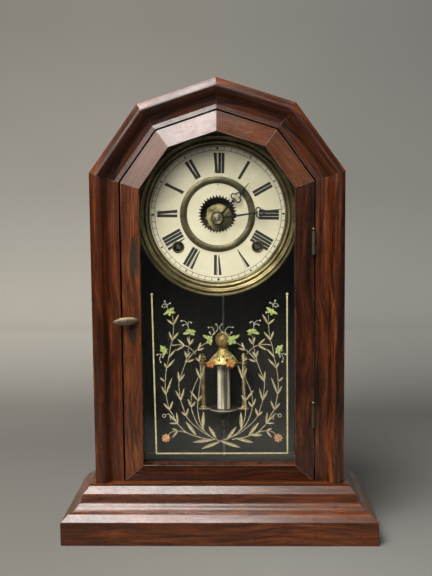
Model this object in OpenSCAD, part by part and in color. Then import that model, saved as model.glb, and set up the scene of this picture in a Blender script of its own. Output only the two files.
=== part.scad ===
// Shelf clock with a ten-sided arch top, eight-day time and strike movement and jar pendulum.
// Millimetres. X runs to the right, Y to the back and Z up; the origin is the middle of the base.

/* [Case] */
// Height over everything
overall_h = 432; // [400:1:470]
// Width of the body across its straight sides
body_w = 237.2; // [225:0.2:250]
// Depth of the body from the front arris to the back
body_d = 104.6; // [100:0.2:125]
// How far the foot of the base stands out beyond the body
base_overhang = 29.4; // [28:0.1:36]
// Height of the base
base_h = 51.3; // [48:0.1:60]
// Thickness of the side and roof boards
board_t = 9; // [6:0.5:12]
// Thickness of the back board
back_t = 6; // [4:0.5:9]
// Height of the stop behind the foot of the door
sill_h = 6; // [4:0.5:9]
// Width of the front moulding
moulding_w = 26.8; // [24:0.1:29]
// Thickness of the front moulding at the outer arris
moulding_t = 13.6; // [12:0.1:17]
// How far the crest of the moulding stands before the arris
crest_rise = 4.4; // [2:0.1:6]
// How far the cove of the moulding lies behind the arris
cove_fall = 4.6; // [3:0.1:6]

/* [Door] */
// Gap round the door
door_gap = 1.5; // [1:0.1:1.8]
// Width of the door stiles
stile_w = 18; // [16:0.1:22]
// Height of the door's bottom rail
rail_h = 16.5; // [14:0.1:20]
// Thickness of the door at its outer edge
door_t = 10; // [8:0.5:11]
// Slope of the door face, from the outer to the inner edge
door_bevel = 5; // [2:0.1:6]
// Width of the rabbet that holds the glass
rabbet_w = 4; // [3:0.1:5]
// Thickness of the glass
glass_t = 2; // [1.5:0.1:3]
// Thickness of the beads that hold the glass
bead_t = 2.6; // [2:0.1:3]
// Radius of the hinge knuckles
knuckle_r = 2; // [1.6:0.1:2.1]
// Length of each hinge
hinge_len = 21; // [18:1:28]
// Thickness of the hinge leaves
leaf_t = 0.8; // [0.6:0.1:0.9]
// Radius of the hinge pins
hinge_pin_r = 0.9; // [0.7:0.05:1.1]
// How far the hinge pins lie inside the gap round the door
hinge_in = 1.5; // [0:0.1:1.6]
// Height of the upper hinge's middle
hinge_top_z = 280; // [260:1:300]
// Height of the lower hinge's middle
hinge_low_z = 115.5; // [100:0.5:150]
// Length of the latch knob
knob_len = 24; // [18:1:28]
// Width of the latch knob
knob_w = 8; // [6:0.5:10]
// Thickness of the latch knob
knob_t = 3.6; // [3:0.2:5]
// Height of the latch
latch_z = 207.4; // [190:0.1:230]
// How far the latch spindle lies inside the door's edge
latch_in = 7.5; // [6:0.1:10]
// Radius of the latch spindle
spindle_r = 1.6; // [1.2:0.1:2]
// Length of the latch tongue from the spindle
tongue_len = 17; // [14:1:20]

/* [Dial] */
// Width of the bezel round the dial
bezel_w = 13.4; // [12:0.1:14]
// Radius of the painted dial that shows
dial_r = 64.8; // [62:0.1:67]
// Height of the bezel's crest before the dial
bezel_h = 5; // [4:0.5:6]
// Thickness of the dial sheet
dial_t = 0.8; // [0.6:0.1:1.2]
// Depth of the dial's face behind the front arris
dial_depth = 23.6; // [22:0.2:28]
// Mean radius of the open centre
open_r = 17.3; // [17:0.1:20]
// Teeth round the open centre
open_teeth = 35; // [24:1:44]
// Height of those teeth
open_tooth_h = 3; // [0.8:0.1:3.2]
// Inner radius of the brass ring on the dial
ring_in_r = 29.4; // [27:0.1:31]
// Outer radius of the brass ring on the dial
ring_out_r = 36; // [34:0.1:37]
// Height of the brass ring
ring_h = 1.4; // [0.8:0.1:2]
// Outer radius of the winding hole grommets
grommet_r = 5.8; // [5.4:0.1:6.5]
// Bore radius of the winding hole grommets
grommet_bore = 4.2; // [3.8:0.1:4.6]
// How far the middle of the dial lies below the middle of the arch
dial_drop = 0.8; // [0:0.1:2]
// How far the hand arbor lies below the middle of the dial
hub_drop = 4; // [2:0.1:6]
// Length of the minute hand from its arbor
minute_len = 62.5; // [55:0.5:63]
// Length of the hour hand from its arbor
hour_len = 44.5; // [38:0.5:47]
// Direction of the minute hand, degrees clockwise from noon
minute_dir = 82; // [0:0.1:360]
// Direction of the hour hand, degrees clockwise from noon
hour_dir = 42.2; // [0:0.1:360]
// Thickness of the hands
hand_t = 0.8; // [0.6:0.1:1]

/* [Movement] */
// Distance between the plates
plate_gap = 33.4; // [32.5:0.1:36]
// Thickness of the plates
plate_t = 1.6; // [1.2:0.1:2]
// Sideways place of the great wheels from the hand arbor
great_x = 38; // [37:0.1:39]
// How far the great wheels lie below the hand arbor
great_drop = 27; // [26.5:0.1:28]
// Teeth of the time great wheel
time_great_n = 84; // [84:1:84]
// Teeth of the strike great wheel
strike_great_n = 91; // [91:1:91]
// Trundles of each lantern pinion
pinion_n = 7; // [7:1:7]
// Teeth of the time second wheel
time_second_n = 78; // [78:1:78]
// Teeth of the strike second wheel
strike_second_n = 84; // [84:1:84]
// Teeth of the third wheels
third_n = 66; // [66:1:66]
// Teeth of the escape wheel
escape_n = 36; // [36:1:36]
// Radius of the escape wheel's tips
escape_r = 10.5; // [9.5:0.1:11]
// Height of the verge arbor above the escape arbor
verge_rise = 15; // [14:0.1:16]
// Teeth of the two equal wheels that turn the centre arbor
centre_n = 54; // [54:1:54]
// Teeth of the warning wheel
warning_n = 60; // [60:1:60]
// Teeth of the minute wheel
minute_wheel_n = 36; // [36:1:36]
// Teeth of the hour wheel
hour_wheel_n = 48; // [48:1:48]
// Leaves of the motion work pinions
leaf_n = 12; // [12:1:12]
// Distance of the minute wheel's stud below the hand arbor
stud_drop = 17.5; // [17:0.1:18.5]
// Thickness of the train wheels
wheel_t = 1.2; // [1:0.1:1.5]
// Thickness of the great wheels
great_t = 1.8; // [1.4:0.1:2.2]
// Radius of the train arbors
arbor_r = 1; // [0.9:0.05:1.2]
// Radius of the pivots
pivot_r = 0.6; // [0.5:0.05:0.7]
// Radius of the winding arbors
winding_r = 3; // [2.5:0.1:3.2]
// Width of the mainsprings
spring_w = 18; // [16:0.5:19]
// Thickness of the mainsprings' steel
spring_t = 0.6; // [0.4:0.1:0.8]
// Turns in each mainspring
spring_turns = 9; // [6:1:10]
// Radius of the plate pillars
pillar_r = 2; // [1.6:0.1:2.2]
// Radius of the gong's wire
gong_wire_r = 1.3; // [1:0.1:1.6]
// Turns of the gong
gong_turns = 4; // [3:1:4]
// Distance between the gong's turns
gong_pitch = 6.4; // [5:0.1:6.6]

/* [Pendulum] */
// Sideways place of the pendulum
pendulum_x = 3.5; // [3:0.1:4]
// Depth of the pendulum behind the front arris
pendulum_depth = 77.6; // [76.5:0.1:78.5]
// Height of the suspension above the hand arbor
suspension_up = 52.5; // [51.5:0.5:54.5]
// Height of the rod's lower end
rod_end_z = 55; // [54:0.1:58]
// Radius of the rod
rod_r = 1; // [0.8:0.1:1.2]
// Radius of the brass ball
ball_r = 8.3; // [5:0.1:8.8]
// Height of the jar's foot
jar_z = 105.4; // [101:0.1:108]
// Height of the glass jar
jar_h = 46.7; // [40:0.1:48]
// Outer radius of the glass jar
jar_r = 8; // [6.5:0.1:9]
// Height of the pierced cap over the jar
cap_h = 15.5; // [14:0.5:18]
// Radius of the cap at its lower edge
cap_r = 15; // [12:0.1:16]
// Sideways place of the two bob posts
post_x = 21.2; // [20:0.1:22]
// Half width of the bob's foot plate
foot_plate_w = 26; // [23:0.5:28]
// Radius of the rating nut
rating_nut_r = 4.6; // [3.5:0.1:5.5]

/* [Hidden] */

$fn = 48;
// Running clearance of a turning fit, on the radius
fit = 0.05;
// Clearance of a seat between pieces that do not turn
seat = 0.02;
// Half the hairline left at a glued mitre
hair = 0.03;
// A length past every face, for cuts
past = 400;

// Colours
rosewood = [0.36, 0.14, 0.08];
light_rosewood = [0.52, 0.27, 0.2];
pine = [0.62, 0.47, 0.3];
brass = [0.66, 0.55, 0.3];
steel = [0.5, 0.5, 0.52];
blued = [0.07, 0.07, 0.09];
cream = [0.9, 0.87, 0.78];

// Case planes
half_w = body_w / 2;
facet = 18;
back_y = (body_d + base_overhang) / 2;
front_y = back_y - body_d;
board_y = front_y + moulding_t;
back_board_y = back_y - back_t;
arch_z = overall_h - half_w / cos(facet);
dial_z = arch_z - dial_drop;
opening_r = half_w - moulding_w;

// Door planes
door_r = opening_r - door_gap;
door_in_r = door_r - stile_w;
door_low_gap = 0.5;
door_low_z = base_h + door_low_gap;
door_in_z = door_low_z + rail_h;
door_back_y = board_y;
door_front_y = door_back_y - door_t;
glass_y = door_back_y - bead_t - glass_t;
gap_x = opening_r - door_gap / 2;
hinge_x = gap_x - hinge_in;
hinge_y = door_front_y - knuckle_r - 0.4;
knuckle_gap = 0.2;
latch_x = -(door_r - latch_in);
latch_face_y = door_front_y - door_bevel * latch_in / stile_w;
knob_off = 3.8;
knob_tilt = -6;
knob_y = latch_face_y - 5.4;
tongue_gap = 0.4;
tongue_t = 1.8;
tongue_y = door_back_y + tongue_gap;

// Dial planes
dial_y = front_y + dial_depth;
dial_back_y = dial_y + dial_t;
bezel_r = dial_r + bezel_w;
hub_z = dial_z - hub_drop;
suspension_z = hub_z + suspension_up;
hole_x = great_x;
hole_z = hub_z - great_drop;

// Movement planes
plate_y = dial_y + 12;
front_in_y = plate_y + plate_t;
back_in_y = front_in_y + plate_gap;
back_out_y = back_in_y + plate_t;
great_y = front_in_y + 3.4;
spring_y = great_y + great_t + 3.2;
third_y = front_in_y + 8.4;
warning_y = front_in_y + 16.4;
second_y = back_in_y - 5;
centre_y = back_in_y - 2.4;
escape_y = front_in_y + 3.4;
pendulum_y = front_y + pendulum_depth;

// Arbor places as x and z from the hand arbor
time_great_at = [great_x, -great_drop];
strike_great_at = [-great_x, -great_drop];
second_x = 27;
second_rise = 1.92;
time_second_at = [second_x, second_rise];
strike_second_at = [-second_x, second_rise];
great_dist = norm(time_great_at - time_second_at);
third_x = 17;
third_rise = 20.67;
time_third_at = [third_x, third_rise];
strike_third_at = [-third_x, third_rise];
second_dist = norm(time_third_at - time_second_at);
escape_dist = 16.425;
escape_at = [pendulum_x,
    third_rise + sqrt(escape_dist * escape_dist - (third_x - pendulum_x) * (third_x - pendulum_x))];
verge_at = escape_at + [0, verge_rise];
warning_x = 27;
warning_at = [-warning_x,
    third_rise + sqrt(escape_dist * escape_dist - (warning_x - third_x) * (warning_x - third_x))];
fly_dist = 13.4;
fly_x = 14;
fly_at = [-fly_x, warning_at[1] + sqrt(fly_dist * fly_dist - (warning_x - fly_x) * (warning_x - fly_x))];
stud_at = [0, -stud_drop];
hammer_at = [-50, 8];
latch_at = [latch_x, latch_z - hub_z];
hang_at = [pendulum_x, suspension_up];

// Tooth modules
time_great_m = 2 * great_dist / (time_great_n + pinion_n);
strike_great_m = 2 * great_dist / (strike_great_n + pinion_n);
time_second_m = 2 * second_dist / (time_second_n + pinion_n);
strike_second_m = 2 * second_dist / (strike_second_n + pinion_n);
third_m = 2 * escape_dist / (third_n + pinion_n);
warning_m = 2 * fly_dist / (warning_n + pinion_n);
centre_m = 2 * norm(time_second_at) / (2 * centre_n);
minute_m = 2 * stud_drop / (minute_wheel_n + leaf_n);
hour_m = 2 * stud_drop / (hour_wheel_n + leaf_n);

// Places of the pillars, the posts and the dial feet, from the hand arbor
pillars_at = [[0, -46], [65, -10], [-65, -10], [42, 42], [-42, 42]];
movement_posts_at = [[65, -10], [-65, -10], [42, 42], [-42, 42]];
dial_feet_at = [[50, 56], [-50, 56], [30, -62], [-30, -62]];
post_r = 3;
foot_r = 2.5;

// Motion work planes
centre_hole_r = 1.2;
cannon_r = 1.9;
pipe_r = 2.8;
hour_wheel_y = dial_back_y + 1.6;
minute_wheel_y = plate_y - 4.6;
hour_hand_y = dial_y - 3.6;
minute_hand_y = hour_hand_y - 2.8;
nut_y = minute_hand_y - 1.6;
nut_r = 5.2;
hub_r = 5.4;

// Gong and hammer planes
gong_at = [0, -35];
gong_post_r = 7;
gong_y = back_board_y - 3.5;
gong_r = gong_post_r + gong_turns * gong_pitch;

// A solid cylinder along Y at x and z from the hand arbor, between two depths
module rod_y(at, r, y0, y1)
    translate([at[0], y1, hub_z + at[1]])
        rotate([90, 0, 0])
            cylinder(r = r, h = y1 - y0);

// A flat shape drawn in x and z from the hand arbor, between two depths
module slab_y(y0, y1, at = [0, 0])
    translate([at[0], y1, hub_z + at[1]])
        rotate([90, 0, 0])
            linear_extrude(height = y1 - y0)
                children();

// The outline of the arch: half a ten-sided figure over straight sides
function arch_points(a, low) = concat(
    [[-a, low]],
    [for (k = [4:-1:0])
        let (corner = facet + 2 * facet * k)
        [0, arch_z] + a / cos(facet) * [cos(corner), sin(corner)]],
    [[a, low]]);

// The arch as a plate between two depths
module arch_plate(a, low, y0, y1)
    translate([0, y1, 0])
        rotate([90, 0, 0])
            linear_extrude(height = y1 - y0)
                polygon(arch_points(a, low));

// A bar of a given section along one of the four roof facets, cut to its mitres
module facet_bar(section, k)
    translate([0, 0, arch_z])
        rotate([0, -2 * facet * k, 0])
            intersection() {
                linear_extrude(height = body_w, center = true) polygon(section);
                rotate([90, 0, 0])
                    linear_extrude(height = past, center = true)
                        translate([hair / sin(facet), 0])
                            polygon([[0, 0], body_w * [1, tan(facet)], body_w * [1, -tan(facet)]]);
            }

// An upright bar of a given section from a height up to its mitre with the roof
module upright_bar(section, low)
    intersection() {
        translate([0, 0, low])
            linear_extrude(height = overall_h) polygon(section);
        translate([0, 0, arch_z])
            rotate([90, 0, 0])
                linear_extrude(height = past, center = true)
                    translate([0, -hair / cos(facet)])
                        polygon([[0, 0], [body_w, body_w * tan(facet)], [body_w, -past], [0, -past]]);
    }

module both_sides() {
    children();
    mirror([1, 0, 0]) children();
}

// Sections, as distance from the middle line and depth
crest_at = 8;
cove_at = 18;
cove_end = 22.8;
fillet_h = 0.6;
fillet_rise = 1.4;
moulding_section = concat(
    [[half_w, board_y], [half_w, front_y]],
    [for (i = [1:6]) [half_w - crest_at * i / 6, front_y - crest_rise * sin(90 * i / 6)]],
    [for (i = [1:8]) [half_w - crest_at - (cove_at - crest_at) * i / 8,
        front_y - crest_rise + (crest_rise + cove_fall) * (1 - cos(180 * i / 8)) / 2]],
    [[half_w - cove_end, front_y + cove_fall], [half_w - cove_end, front_y + cove_fall - fillet_h],
     [opening_r, front_y + cove_fall - fillet_h - fillet_rise], [opening_r, board_y]]);

board_section = [[half_w, board_y], [half_w, back_y],
    [half_w - board_t, back_y], [half_w - board_t, board_y]];

door_section = [[door_r, door_back_y], [door_r, door_front_y], [door_in_r, door_front_y - door_bevel],
    [door_in_r, glass_y], [door_in_r + rabbet_w, glass_y], [door_in_r + rabbet_w, door_back_y]];

// The base moulding, as distance beyond the body and height, in parts of the whole overhang and height:
// the nose of the plinth and its slope, a cove, a small round, a steep face and the upper slope
base_lip = 0.18 * base_overhang;
base_lip_z = base_h - 1.9;
base_inner = 8;
base_profile = [[1, 0.405], [0.987, 0.434], [0.957, 0.455], [0.78, 0.542],
    [0.73, 0.552], [0.665, 0.569], [0.605, 0.592], [0.562, 0.615], [0.54, 0.633],
    [0.517, 0.656], [0.485, 0.677], [0.446, 0.69], [0.36, 0.845]];
base_section = concat(
    [[-base_inner, 0], [base_overhang, 0]],
    [for (p = base_profile) [p[0] * base_overhang, p[1] * base_h]],
    [[base_lip, base_lip_z], [-base_inner, base_lip_z]]);

module base_mouldings() {
    side_len = body_d + base_overhang;
    color(rosewood) {
        // front strip, mitred at both ends
        intersection() {
            rotate([90, 0, 90])
                linear_extrude(height = body_w + 2 * base_overhang, center = true)
                    polygon([for (p = base_section) [front_y - p[0], p[1]]]);
            linear_extrude(height = base_h)
                translate([0, -2 * hair])
                    polygon([[-half_w - base_overhang, front_y - base_overhang],
                        [half_w + base_overhang, front_y - base_overhang],
                        [half_w - base_inner, front_y + base_inner],
                        [-half_w + base_inner, front_y + base_inner]]);
        }
        both_sides()
            intersection() {
                translate([0, back_y, 0])
                    rotate([90, 0, 0])
                        linear_extrude(height = side_len)
                            polygon([for (p = base_section) [half_w + p[0], p[1]]]);
                linear_extrude(height = base_h)
                    polygon([[half_w + base_overhang, front_y - base_overhang],
                        [half_w + base_overhang, back_y], [half_w - base_inner, back_y],
                        [half_w - base_inner, front_y + base_inner]]);
            }
    }
}

base_rail_t = 8;
bottom_t = 4;
top_panel_t = 8;
module base_inner_boards() {
    inner_w = half_w - base_inner;
    color(pine) {
        translate([-inner_w, back_y - base_rail_t, 0])
            cube([2 * inner_w, base_rail_t, base_lip_z - top_panel_t]);
        translate([-inner_w, front_y + base_inner, 0])
            cube([2 * inner_w, body_d - base_inner - base_rail_t, bottom_t]);
    }
}

module base_top_board() {
    inner_w = half_w - base_inner;
    color(rosewood)
        union() {
            translate([-half_w - base_lip, front_y - base_lip, base_lip_z])
                cube([body_w + 2 * base_lip, body_d + base_lip, base_h - base_lip_z]);
            translate([-inner_w, front_y + base_inner, base_lip_z - top_panel_t])
                cube([2 * inner_w, body_d - base_inner, top_panel_t + (base_h - base_lip_z) / 2]);
        }
}

// Strip behind the foot of the door, which the door closes on
sill_d = 8;
module door_sill()
    color(pine)
        translate([-half_w + board_t, board_y + 0.4, base_h])
            cube([body_w - 2 * board_t, sill_d, sill_h]);

module side_boards()
    color(rosewood)
        both_sides() upright_bar(board_section, base_h);

module roof_boards()
    color(rosewood)
        for (k = [1:4]) facet_bar(board_section, k);

module back_board()
    color(pine)
        difference() {
            arch_plate(half_w - board_t, base_h, back_board_y, back_y);
            for (p = movement_posts_at) rod_y(p, screw_r, back_board_y - past, past);
        }

module front_stiles()
    color(rosewood)
        difference() {
            both_sides() upright_bar(moulding_section, base_h);
            leaf_recess(gap_x + door_gap / 2 - leaf_t + leaf_in);
        }

module front_arch()
    color(rosewood)
        for (k = [1:4]) facet_bar(moulding_section, k);

leaf_in = 0.5;
leaf_back_y = door_back_y - 2;
function hinge_heights() = [hinge_top_z, hinge_low_z];
knuckle_len = hinge_len / 3;

module leaf_plate(x0, z, len)
    translate([x0, hinge_y, z - len / 2])
        cube([leaf_t, leaf_back_y - hinge_y, len]);

module knuckle(z0, len)
    translate([hinge_x, hinge_y, z0])
        cylinder(r = knuckle_r, h = len);

// Room that one leaf leaves for the other's knuckle
module knuckle_room(z0, len)
    translate([hinge_x - past / 2, hinge_y - past / 2, z0])
        cube([past, past / 2 + knuckle_r + 0.4, len]);

module pin_bore(z)
    translate([hinge_x, hinge_y, z - hinge_len])
        cylinder(r = hinge_pin_r + fit, h = 2 * hinge_len);

// Leaf let into the case, with the knuckles above and below
module case_hinge_leaves()
    color(brass)
        for (z = hinge_heights())
            difference() {
                union() {
                    difference() {
                        leaf_plate(gap_x + door_gap / 2 - leaf_t + leaf_in, z, hinge_len);
                        knuckle_room(z - knuckle_len / 2 - knuckle_gap, knuckle_len + 2 * knuckle_gap);
                    }
                    knuckle(z - hinge_len / 2, knuckle_len - knuckle_gap);
                    knuckle(z + knuckle_len / 2 + knuckle_gap, knuckle_len - knuckle_gap);
                }
                pin_bore(z);
            }

module door_leaf(z)
    difference() {
        leaf_plate(gap_x - door_gap / 2 - leaf_in, z, hinge_len);
        for (s = [-1, 1])
            knuckle_room(z + s * (knuckle_len + hinge_len) / 2 - hinge_len / 2, hinge_len);
    }

// Leaf let into the door, with the middle knuckle
module door_hinge_leaves()
    color(brass)
        for (z = hinge_heights())
            difference() {
                union() {
                    door_leaf(z);
                    knuckle(z - knuckle_len / 2, knuckle_len);
                }
                pin_bore(z);
            }

finial_r = 1.7;
module hinge_pins()
    color(brass)
        for (z = hinge_heights())
            translate([hinge_x, hinge_y, z])
                union() {
                    translate([0, 0, -hinge_len / 2 - 0.6])
                        cylinder(r = hinge_pin_r, h = hinge_len + 0.6 + finial_r + 0.2);
                    translate([0, 0, -hinge_len / 2 - 1])
                        cylinder(r = knuckle_r * 0.8, h = 0.8);
                    translate([0, 0, hinge_len / 2 + 0.1 + finial_r])
                        sphere(r = finial_r);
                }

// Room for the leaves in the edges of the door and the case
module leaf_recess(x0)
    for (z = hinge_heights())
        leaf_plate(x0, z, hinge_len);

// Door frame
module door_stiles()
    color(rosewood)
        difference() {
            both_sides()
                difference() {
                    upright_bar(door_section, door_low_z);
                    rail_cut();
                }
            leaf_recess(gap_x - door_gap / 2 - leaf_in);
            rod_y(latch_at, spindle_r + fit, -past, past);
        }

// The corner that a mitred bottom rail takes from the stile
module rail_cut()
    rotate([90, 0, 0])
        linear_extrude(height = past, center = true)
            polygon([[door_r, door_low_z],
                [door_in_r - past, door_low_z + (stile_w + past) * rail_h / stile_w],
                [door_in_r - past, door_low_z - past], [door_r, door_low_z - past]]);

rail_section = [for (p = door_section) [p[1], door_low_z + (door_r - p[0]) * rail_h / stile_w]];
module door_bottom_rail()
    color(rosewood)
        intersection() {
            rotate([90, 0, 90])
                linear_extrude(height = 2 * door_r, center = true) polygon(rail_section);
            rotate([90, 0, 0])
                linear_extrude(height = past, center = true)
                    polygon([[-door_r, door_low_z], [door_r, door_low_z],
                        [door_in_r, door_in_z], [-door_in_r, door_in_z]]);
        }

module door_arch()
    color(light_rosewood)
        for (k = [1:4]) facet_bar(door_section, k);

glass_in = 0.3;
rabbet_z = door_in_z - rabbet_w * rail_h / stile_w;
module door_glass()
    color([0.8, 0.88, 0.85, 0.35])
        arch_plate(door_in_r + rabbet_w - glass_in, rabbet_z + glass_in, glass_y, glass_y + glass_t);

module glass_beads()
    color(light_rosewood)
        difference() {
            arch_plate(door_in_r + rabbet_w, rabbet_z, glass_y + glass_t, door_back_y);
            arch_plate(door_in_r, door_in_z, glass_y + glass_t - 1, door_back_y + 1);
        }

// Latch
module latch_knob()
    color(brass)
        translate([latch_x - knob_off, knob_y, latch_z])
            rotate([0, knob_tilt, 0])
                scale([knob_len / 2, knob_t / 2, knob_w / 2])
                    sphere(r = 1, $fn = 32);

module latch_spindle()
    color(brass)
        union() {
            rod_y(latch_at, spindle_r, knob_y + knob_t * 0.49, tongue_y + tongue_t);
            rod_y(latch_at, spindle_r + 1.4, latch_face_y - 2.4, latch_face_y - 1.6);
            rod_y(latch_at, spindle_r + 2, tongue_y, tongue_y + tongue_t);
            translate([latch_x - tongue_len, tongue_y, latch_z - spindle_r - 1])
                cube([tongue_len, tongue_t, 2 * spindle_r + 2]);
        }

// Dial
module dial_pan()
    color(cream)
        slab_y(dial_y, dial_back_y)
            difference() {
                translate([0, hub_drop]) circle(r = bezel_r - pan_lip, $fn = 96);
                translate([0, hub_drop])
                    polygon([for (i = [0:2 * open_teeth - 1])
                        (open_r + (i % 2 == 0 ? open_tooth_h / 2 : -open_tooth_h / 2))
                            * [cos(180 * i / open_teeth), sin(180 * i / open_teeth)]]);
                for (s = [-1, 1]) translate([s * hole_x, hole_z - hub_z]) circle(r = grommet_r - 0.8);
            }

module dial_revolve()
    translate([0, dial_y, dial_z])
        rotate([90, 0, 0])
            rotate_extrude($fn = 96)
                children();

// Reeded ring round the dial, turned down over the edge of the pan
pan_lip = 1.5;
// A round of the bezel between two parts of its width, standing on a height
function bezel_round(a, b, low, rise) = [for (i = [0:6])
    [dial_r + bezel_w * (a + (b - a) * i / 6), low + rise * sin(180 * i / 6)]];
module dial_bezel()
    color(brass)
        dial_revolve()
            polygon(concat([[dial_r, 0], [dial_r, 0.8]],
                bezel_round(0.02, 0.08, 0.8, 0.5),
                bezel_round(0.13, 0.44, 0.6, 1.7),
                bezel_round(0.53, 0.77, 1.4, 1.8),
                [[dial_r + bezel_w * 0.8, bezel_h * 0.5], [dial_r + bezel_w * 0.93, bezel_h],
                 [bezel_r - 0.4, bezel_h - 0.3], [bezel_r, bezel_h - 1], [bezel_r, -dial_t],
                 [bezel_r - pan_lip + seat, -dial_t], [bezel_r - pan_lip + seat, 0]]));

module dial_ring()
    color(brass)
        dial_revolve()
            polygon(concat([[ring_in_r, 0]],
                [for (i = [0:8]) [ring_in_r + (ring_out_r - ring_in_r) * i / 8,
                    0.4 + (ring_h - 0.4) * sin(180 * i / 8)]],
                [[ring_out_r, 0]]));

module winding_grommets()
    color(brass)
        for (s = [-1, 1])
            translate([s * hole_x, dial_y, hole_z])
                rotate([90, 0, 0])
                    rotate_extrude()
                        polygon([[grommet_bore, -dial_t], [grommet_r - 0.8 - seat, -dial_t],
                            [grommet_r - 0.8 - seat, 0], [grommet_r, 0], [grommet_r, 0.5],
                            [(grommet_r + grommet_bore) / 2, 1], [grommet_bore, 0.6]]);

module dial_feet()
    color(brass)
        for (p = dial_feet_at) rod_y(p, foot_r, dial_back_y, back_board_y);

// A toothed outline: n teeth of a module, as a ring of flat-flanked teeth
function tooth(n, m, i, add, ded, tip, pitch) = [for (q = [[-ded, -pitch - 0.03], [0, -pitch], [add, -tip],
        [add, tip], [0, pitch], [-ded, pitch + 0.03]])
    let (r = n * m / 2 + q[0] * m, a = 360 * i / n + q[1] * 360 / n) [r * cos(a), r * sin(a)]];
module toothed(n, m, add = 0.9, ded = 1, tip = 0.05, pitch = 0.22)
    polygon([for (i = [0:n - 1]) each tooth(n, m, i, add, ded, tip, pitch)]);
module leafed(n, m)
    toothed(n, m, 0.8, 1.05, 0.08, 0.2);

// Four crossings cut out of a wheel
spoke_w = 2.4;
module crossings(rim, hub)
    difference() {
        circle(r = rim);
        circle(r = hub);
        for (a = [0, 90]) rotate(a + 45) square([2 * rim + 2, spoke_w], center = true);
    }

module train_wheel(at, y, t, n, m, turn = 0, rim = 2.6, hub = 4.5)
    slab_y(y, y + t, at)
        difference() {
            rotate(turn) toothed(n, m);
            crossings(n * m / 2 - rim, hub);
        }

// Lantern pinion: two shrouds and thin trundles
trundle = 0.2;
shroud_t = 0.6;
module lantern(at, y0, y1, m, turn = 0) {
    r = pinion_n * m / 2;
    tr = trundle * PI * m;
    rod_y(at, r + tr + 0.4, y0, y0 + shroud_t);
    rod_y(at, r + tr + 0.4, y1 - shroud_t, y1);
    for (i = [0:pinion_n - 1])
        rod_y(at + r * [cos(turn + 360 * i / pinion_n), sin(turn + 360 * i / pinion_n)], tr,
            y0 + shroud_t / 2, y1 - shroud_t / 2);
}

// Arbor between the plates with a pivot at each end
shoulder = 0.25;
module arbor(at, r = arbor_r) {
    rod_y(at, r, front_in_y + shoulder, back_in_y - shoulder);
    rod_y(at, pivot_r, plate_y - 0.4, back_out_y + 0.4);
}

// Angle from one place to another, and the turn that sets a pinion in mesh with a wheel
function dir(a, b) = atan2(b[1] - a[1], b[0] - a[0]);
function mesh_turn(wheel_at, n, turn, pinion_at, k) =
    dir(pinion_at, wheel_at) + 180 / k + (dir(wheel_at, pinion_at) - turn) * n / k;

// Turn of each wheel and pinion at rest
time_second_turn = mesh_turn(time_great_at, time_great_n, 0, time_second_at, pinion_n);
time_third_turn = mesh_turn(time_second_at, time_second_n, 0, time_third_at, pinion_n);
escape_turn = mesh_turn(time_third_at, third_n, 0, escape_at, pinion_n);
centre_turn = mesh_turn(time_second_at, centre_n, 0, [0, 0], centre_n);
strike_second_turn = mesh_turn(strike_great_at, strike_great_n, 0, strike_second_at, pinion_n);
strike_third_turn = mesh_turn(strike_second_at, strike_second_n, 0, strike_third_at, pinion_n);
warning_turn = mesh_turn(strike_third_at, third_n, 0, warning_at, pinion_n);
fly_turn = mesh_turn(warning_at, warning_n, 0, fly_at, pinion_n);
minute_turn = mesh_turn([0, 0], leaf_n, 0, stud_at, minute_wheel_n);
hour_turn = mesh_turn(stud_at, leaf_n, 0, [0, 0], hour_wheel_n);

// Movement plates with their arbor holes and two round windows
plate_side = great_x * 1.79;
plate_top = great_x * 1.263;
plate_low = -great_x * 1.37;
plate_outline = [[-plate_side, -14], [-plate_side, -4], [-47, plate_top], [47, plate_top],
    [plate_side, -4], [plate_side, -14], [7, plate_low], [-7, plate_low]];
window_r = 9;
window_at = [[20, -20], [-20, -20]];
train_at = [time_second_at, time_third_at, escape_at, verge_at, strike_second_at, strike_third_at,
    warning_at, fly_at, hammer_at];
module plate(y)
    slab_y(y, y + plate_t)
        difference() {
            polygon(plate_outline);
            for (p = window_at) translate(p) circle(r = window_r);
            for (p = train_at) translate(p) circle(r = pivot_r + fit);
            for (p = [time_great_at, strike_great_at]) translate(p) circle(r = winding_r + fit);
            circle(r = centre_hole_r + fit);
            for (p = pillars_at) translate(p) circle(r = pillar_r / 2 + seat);
        }

stud_r = 1;
tab_w = 12;
module front_plate()
    color(brass)
        union() {
            plate(plate_y);
            rod_y(stud_at, stud_r, hour_wheel_y - 1.2, plate_y + plate_t / 2);
        }

// The back plate, with a tab at the top for the suspension post
module back_plate()
    color(brass)
        union() {
            plate(back_in_y);
            slab_y(back_in_y, back_out_y)
                translate([pendulum_x - tab_w / 2, plate_top - 0.5])
                    square([tab_w, suspension_up + 5.5 - plate_top]);
        }

module plate_pillars()
    color(brass)
        for (p = pillars_at)
            union() {
                rod_y(p, pillar_r, front_in_y, back_in_y);
                rod_y(p, pillar_r / 2, plate_y - 1.8, back_out_y);
                rod_y(p, pillar_r, plate_y - 1.8, plate_y);
            }

screw_r = 1.4;
module movement_posts()
    color(brass)
        for (p = movement_posts_at)
            union() {
                rod_y(p, post_r, back_out_y, back_board_y);
                rod_y(p, screw_r - seat, back_board_y - 1, back_y - 1);
            }

// A flat spiral strip, from an inner to an outer radius, ending at an angle
module spiral(r0, r1, turns, t, end) {
    steps = 20;
    n = turns * steps;
    function at(i, w) = (r0 + (r1 - r0) * i / n + w)
        * [cos(end - 360 * (n - i) / steps), sin(end - 360 * (n - i) / steps)];
    polygon(concat([for (i = [0:n]) at(i, 0)], [for (i = [n:-1:0]) at(i, t)]));
}

spring_in_r = winding_r + 0.3;
spring_out_r = 29.2;
module mainsprings()
    color(steel)
        both_sides()
            slab_y(spring_y, spring_y + spring_w, time_great_at)
                spiral(spring_in_r, spring_out_r, spring_turns, spring_t,
                    dir(time_great_at, pillars_at[1]));

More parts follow.
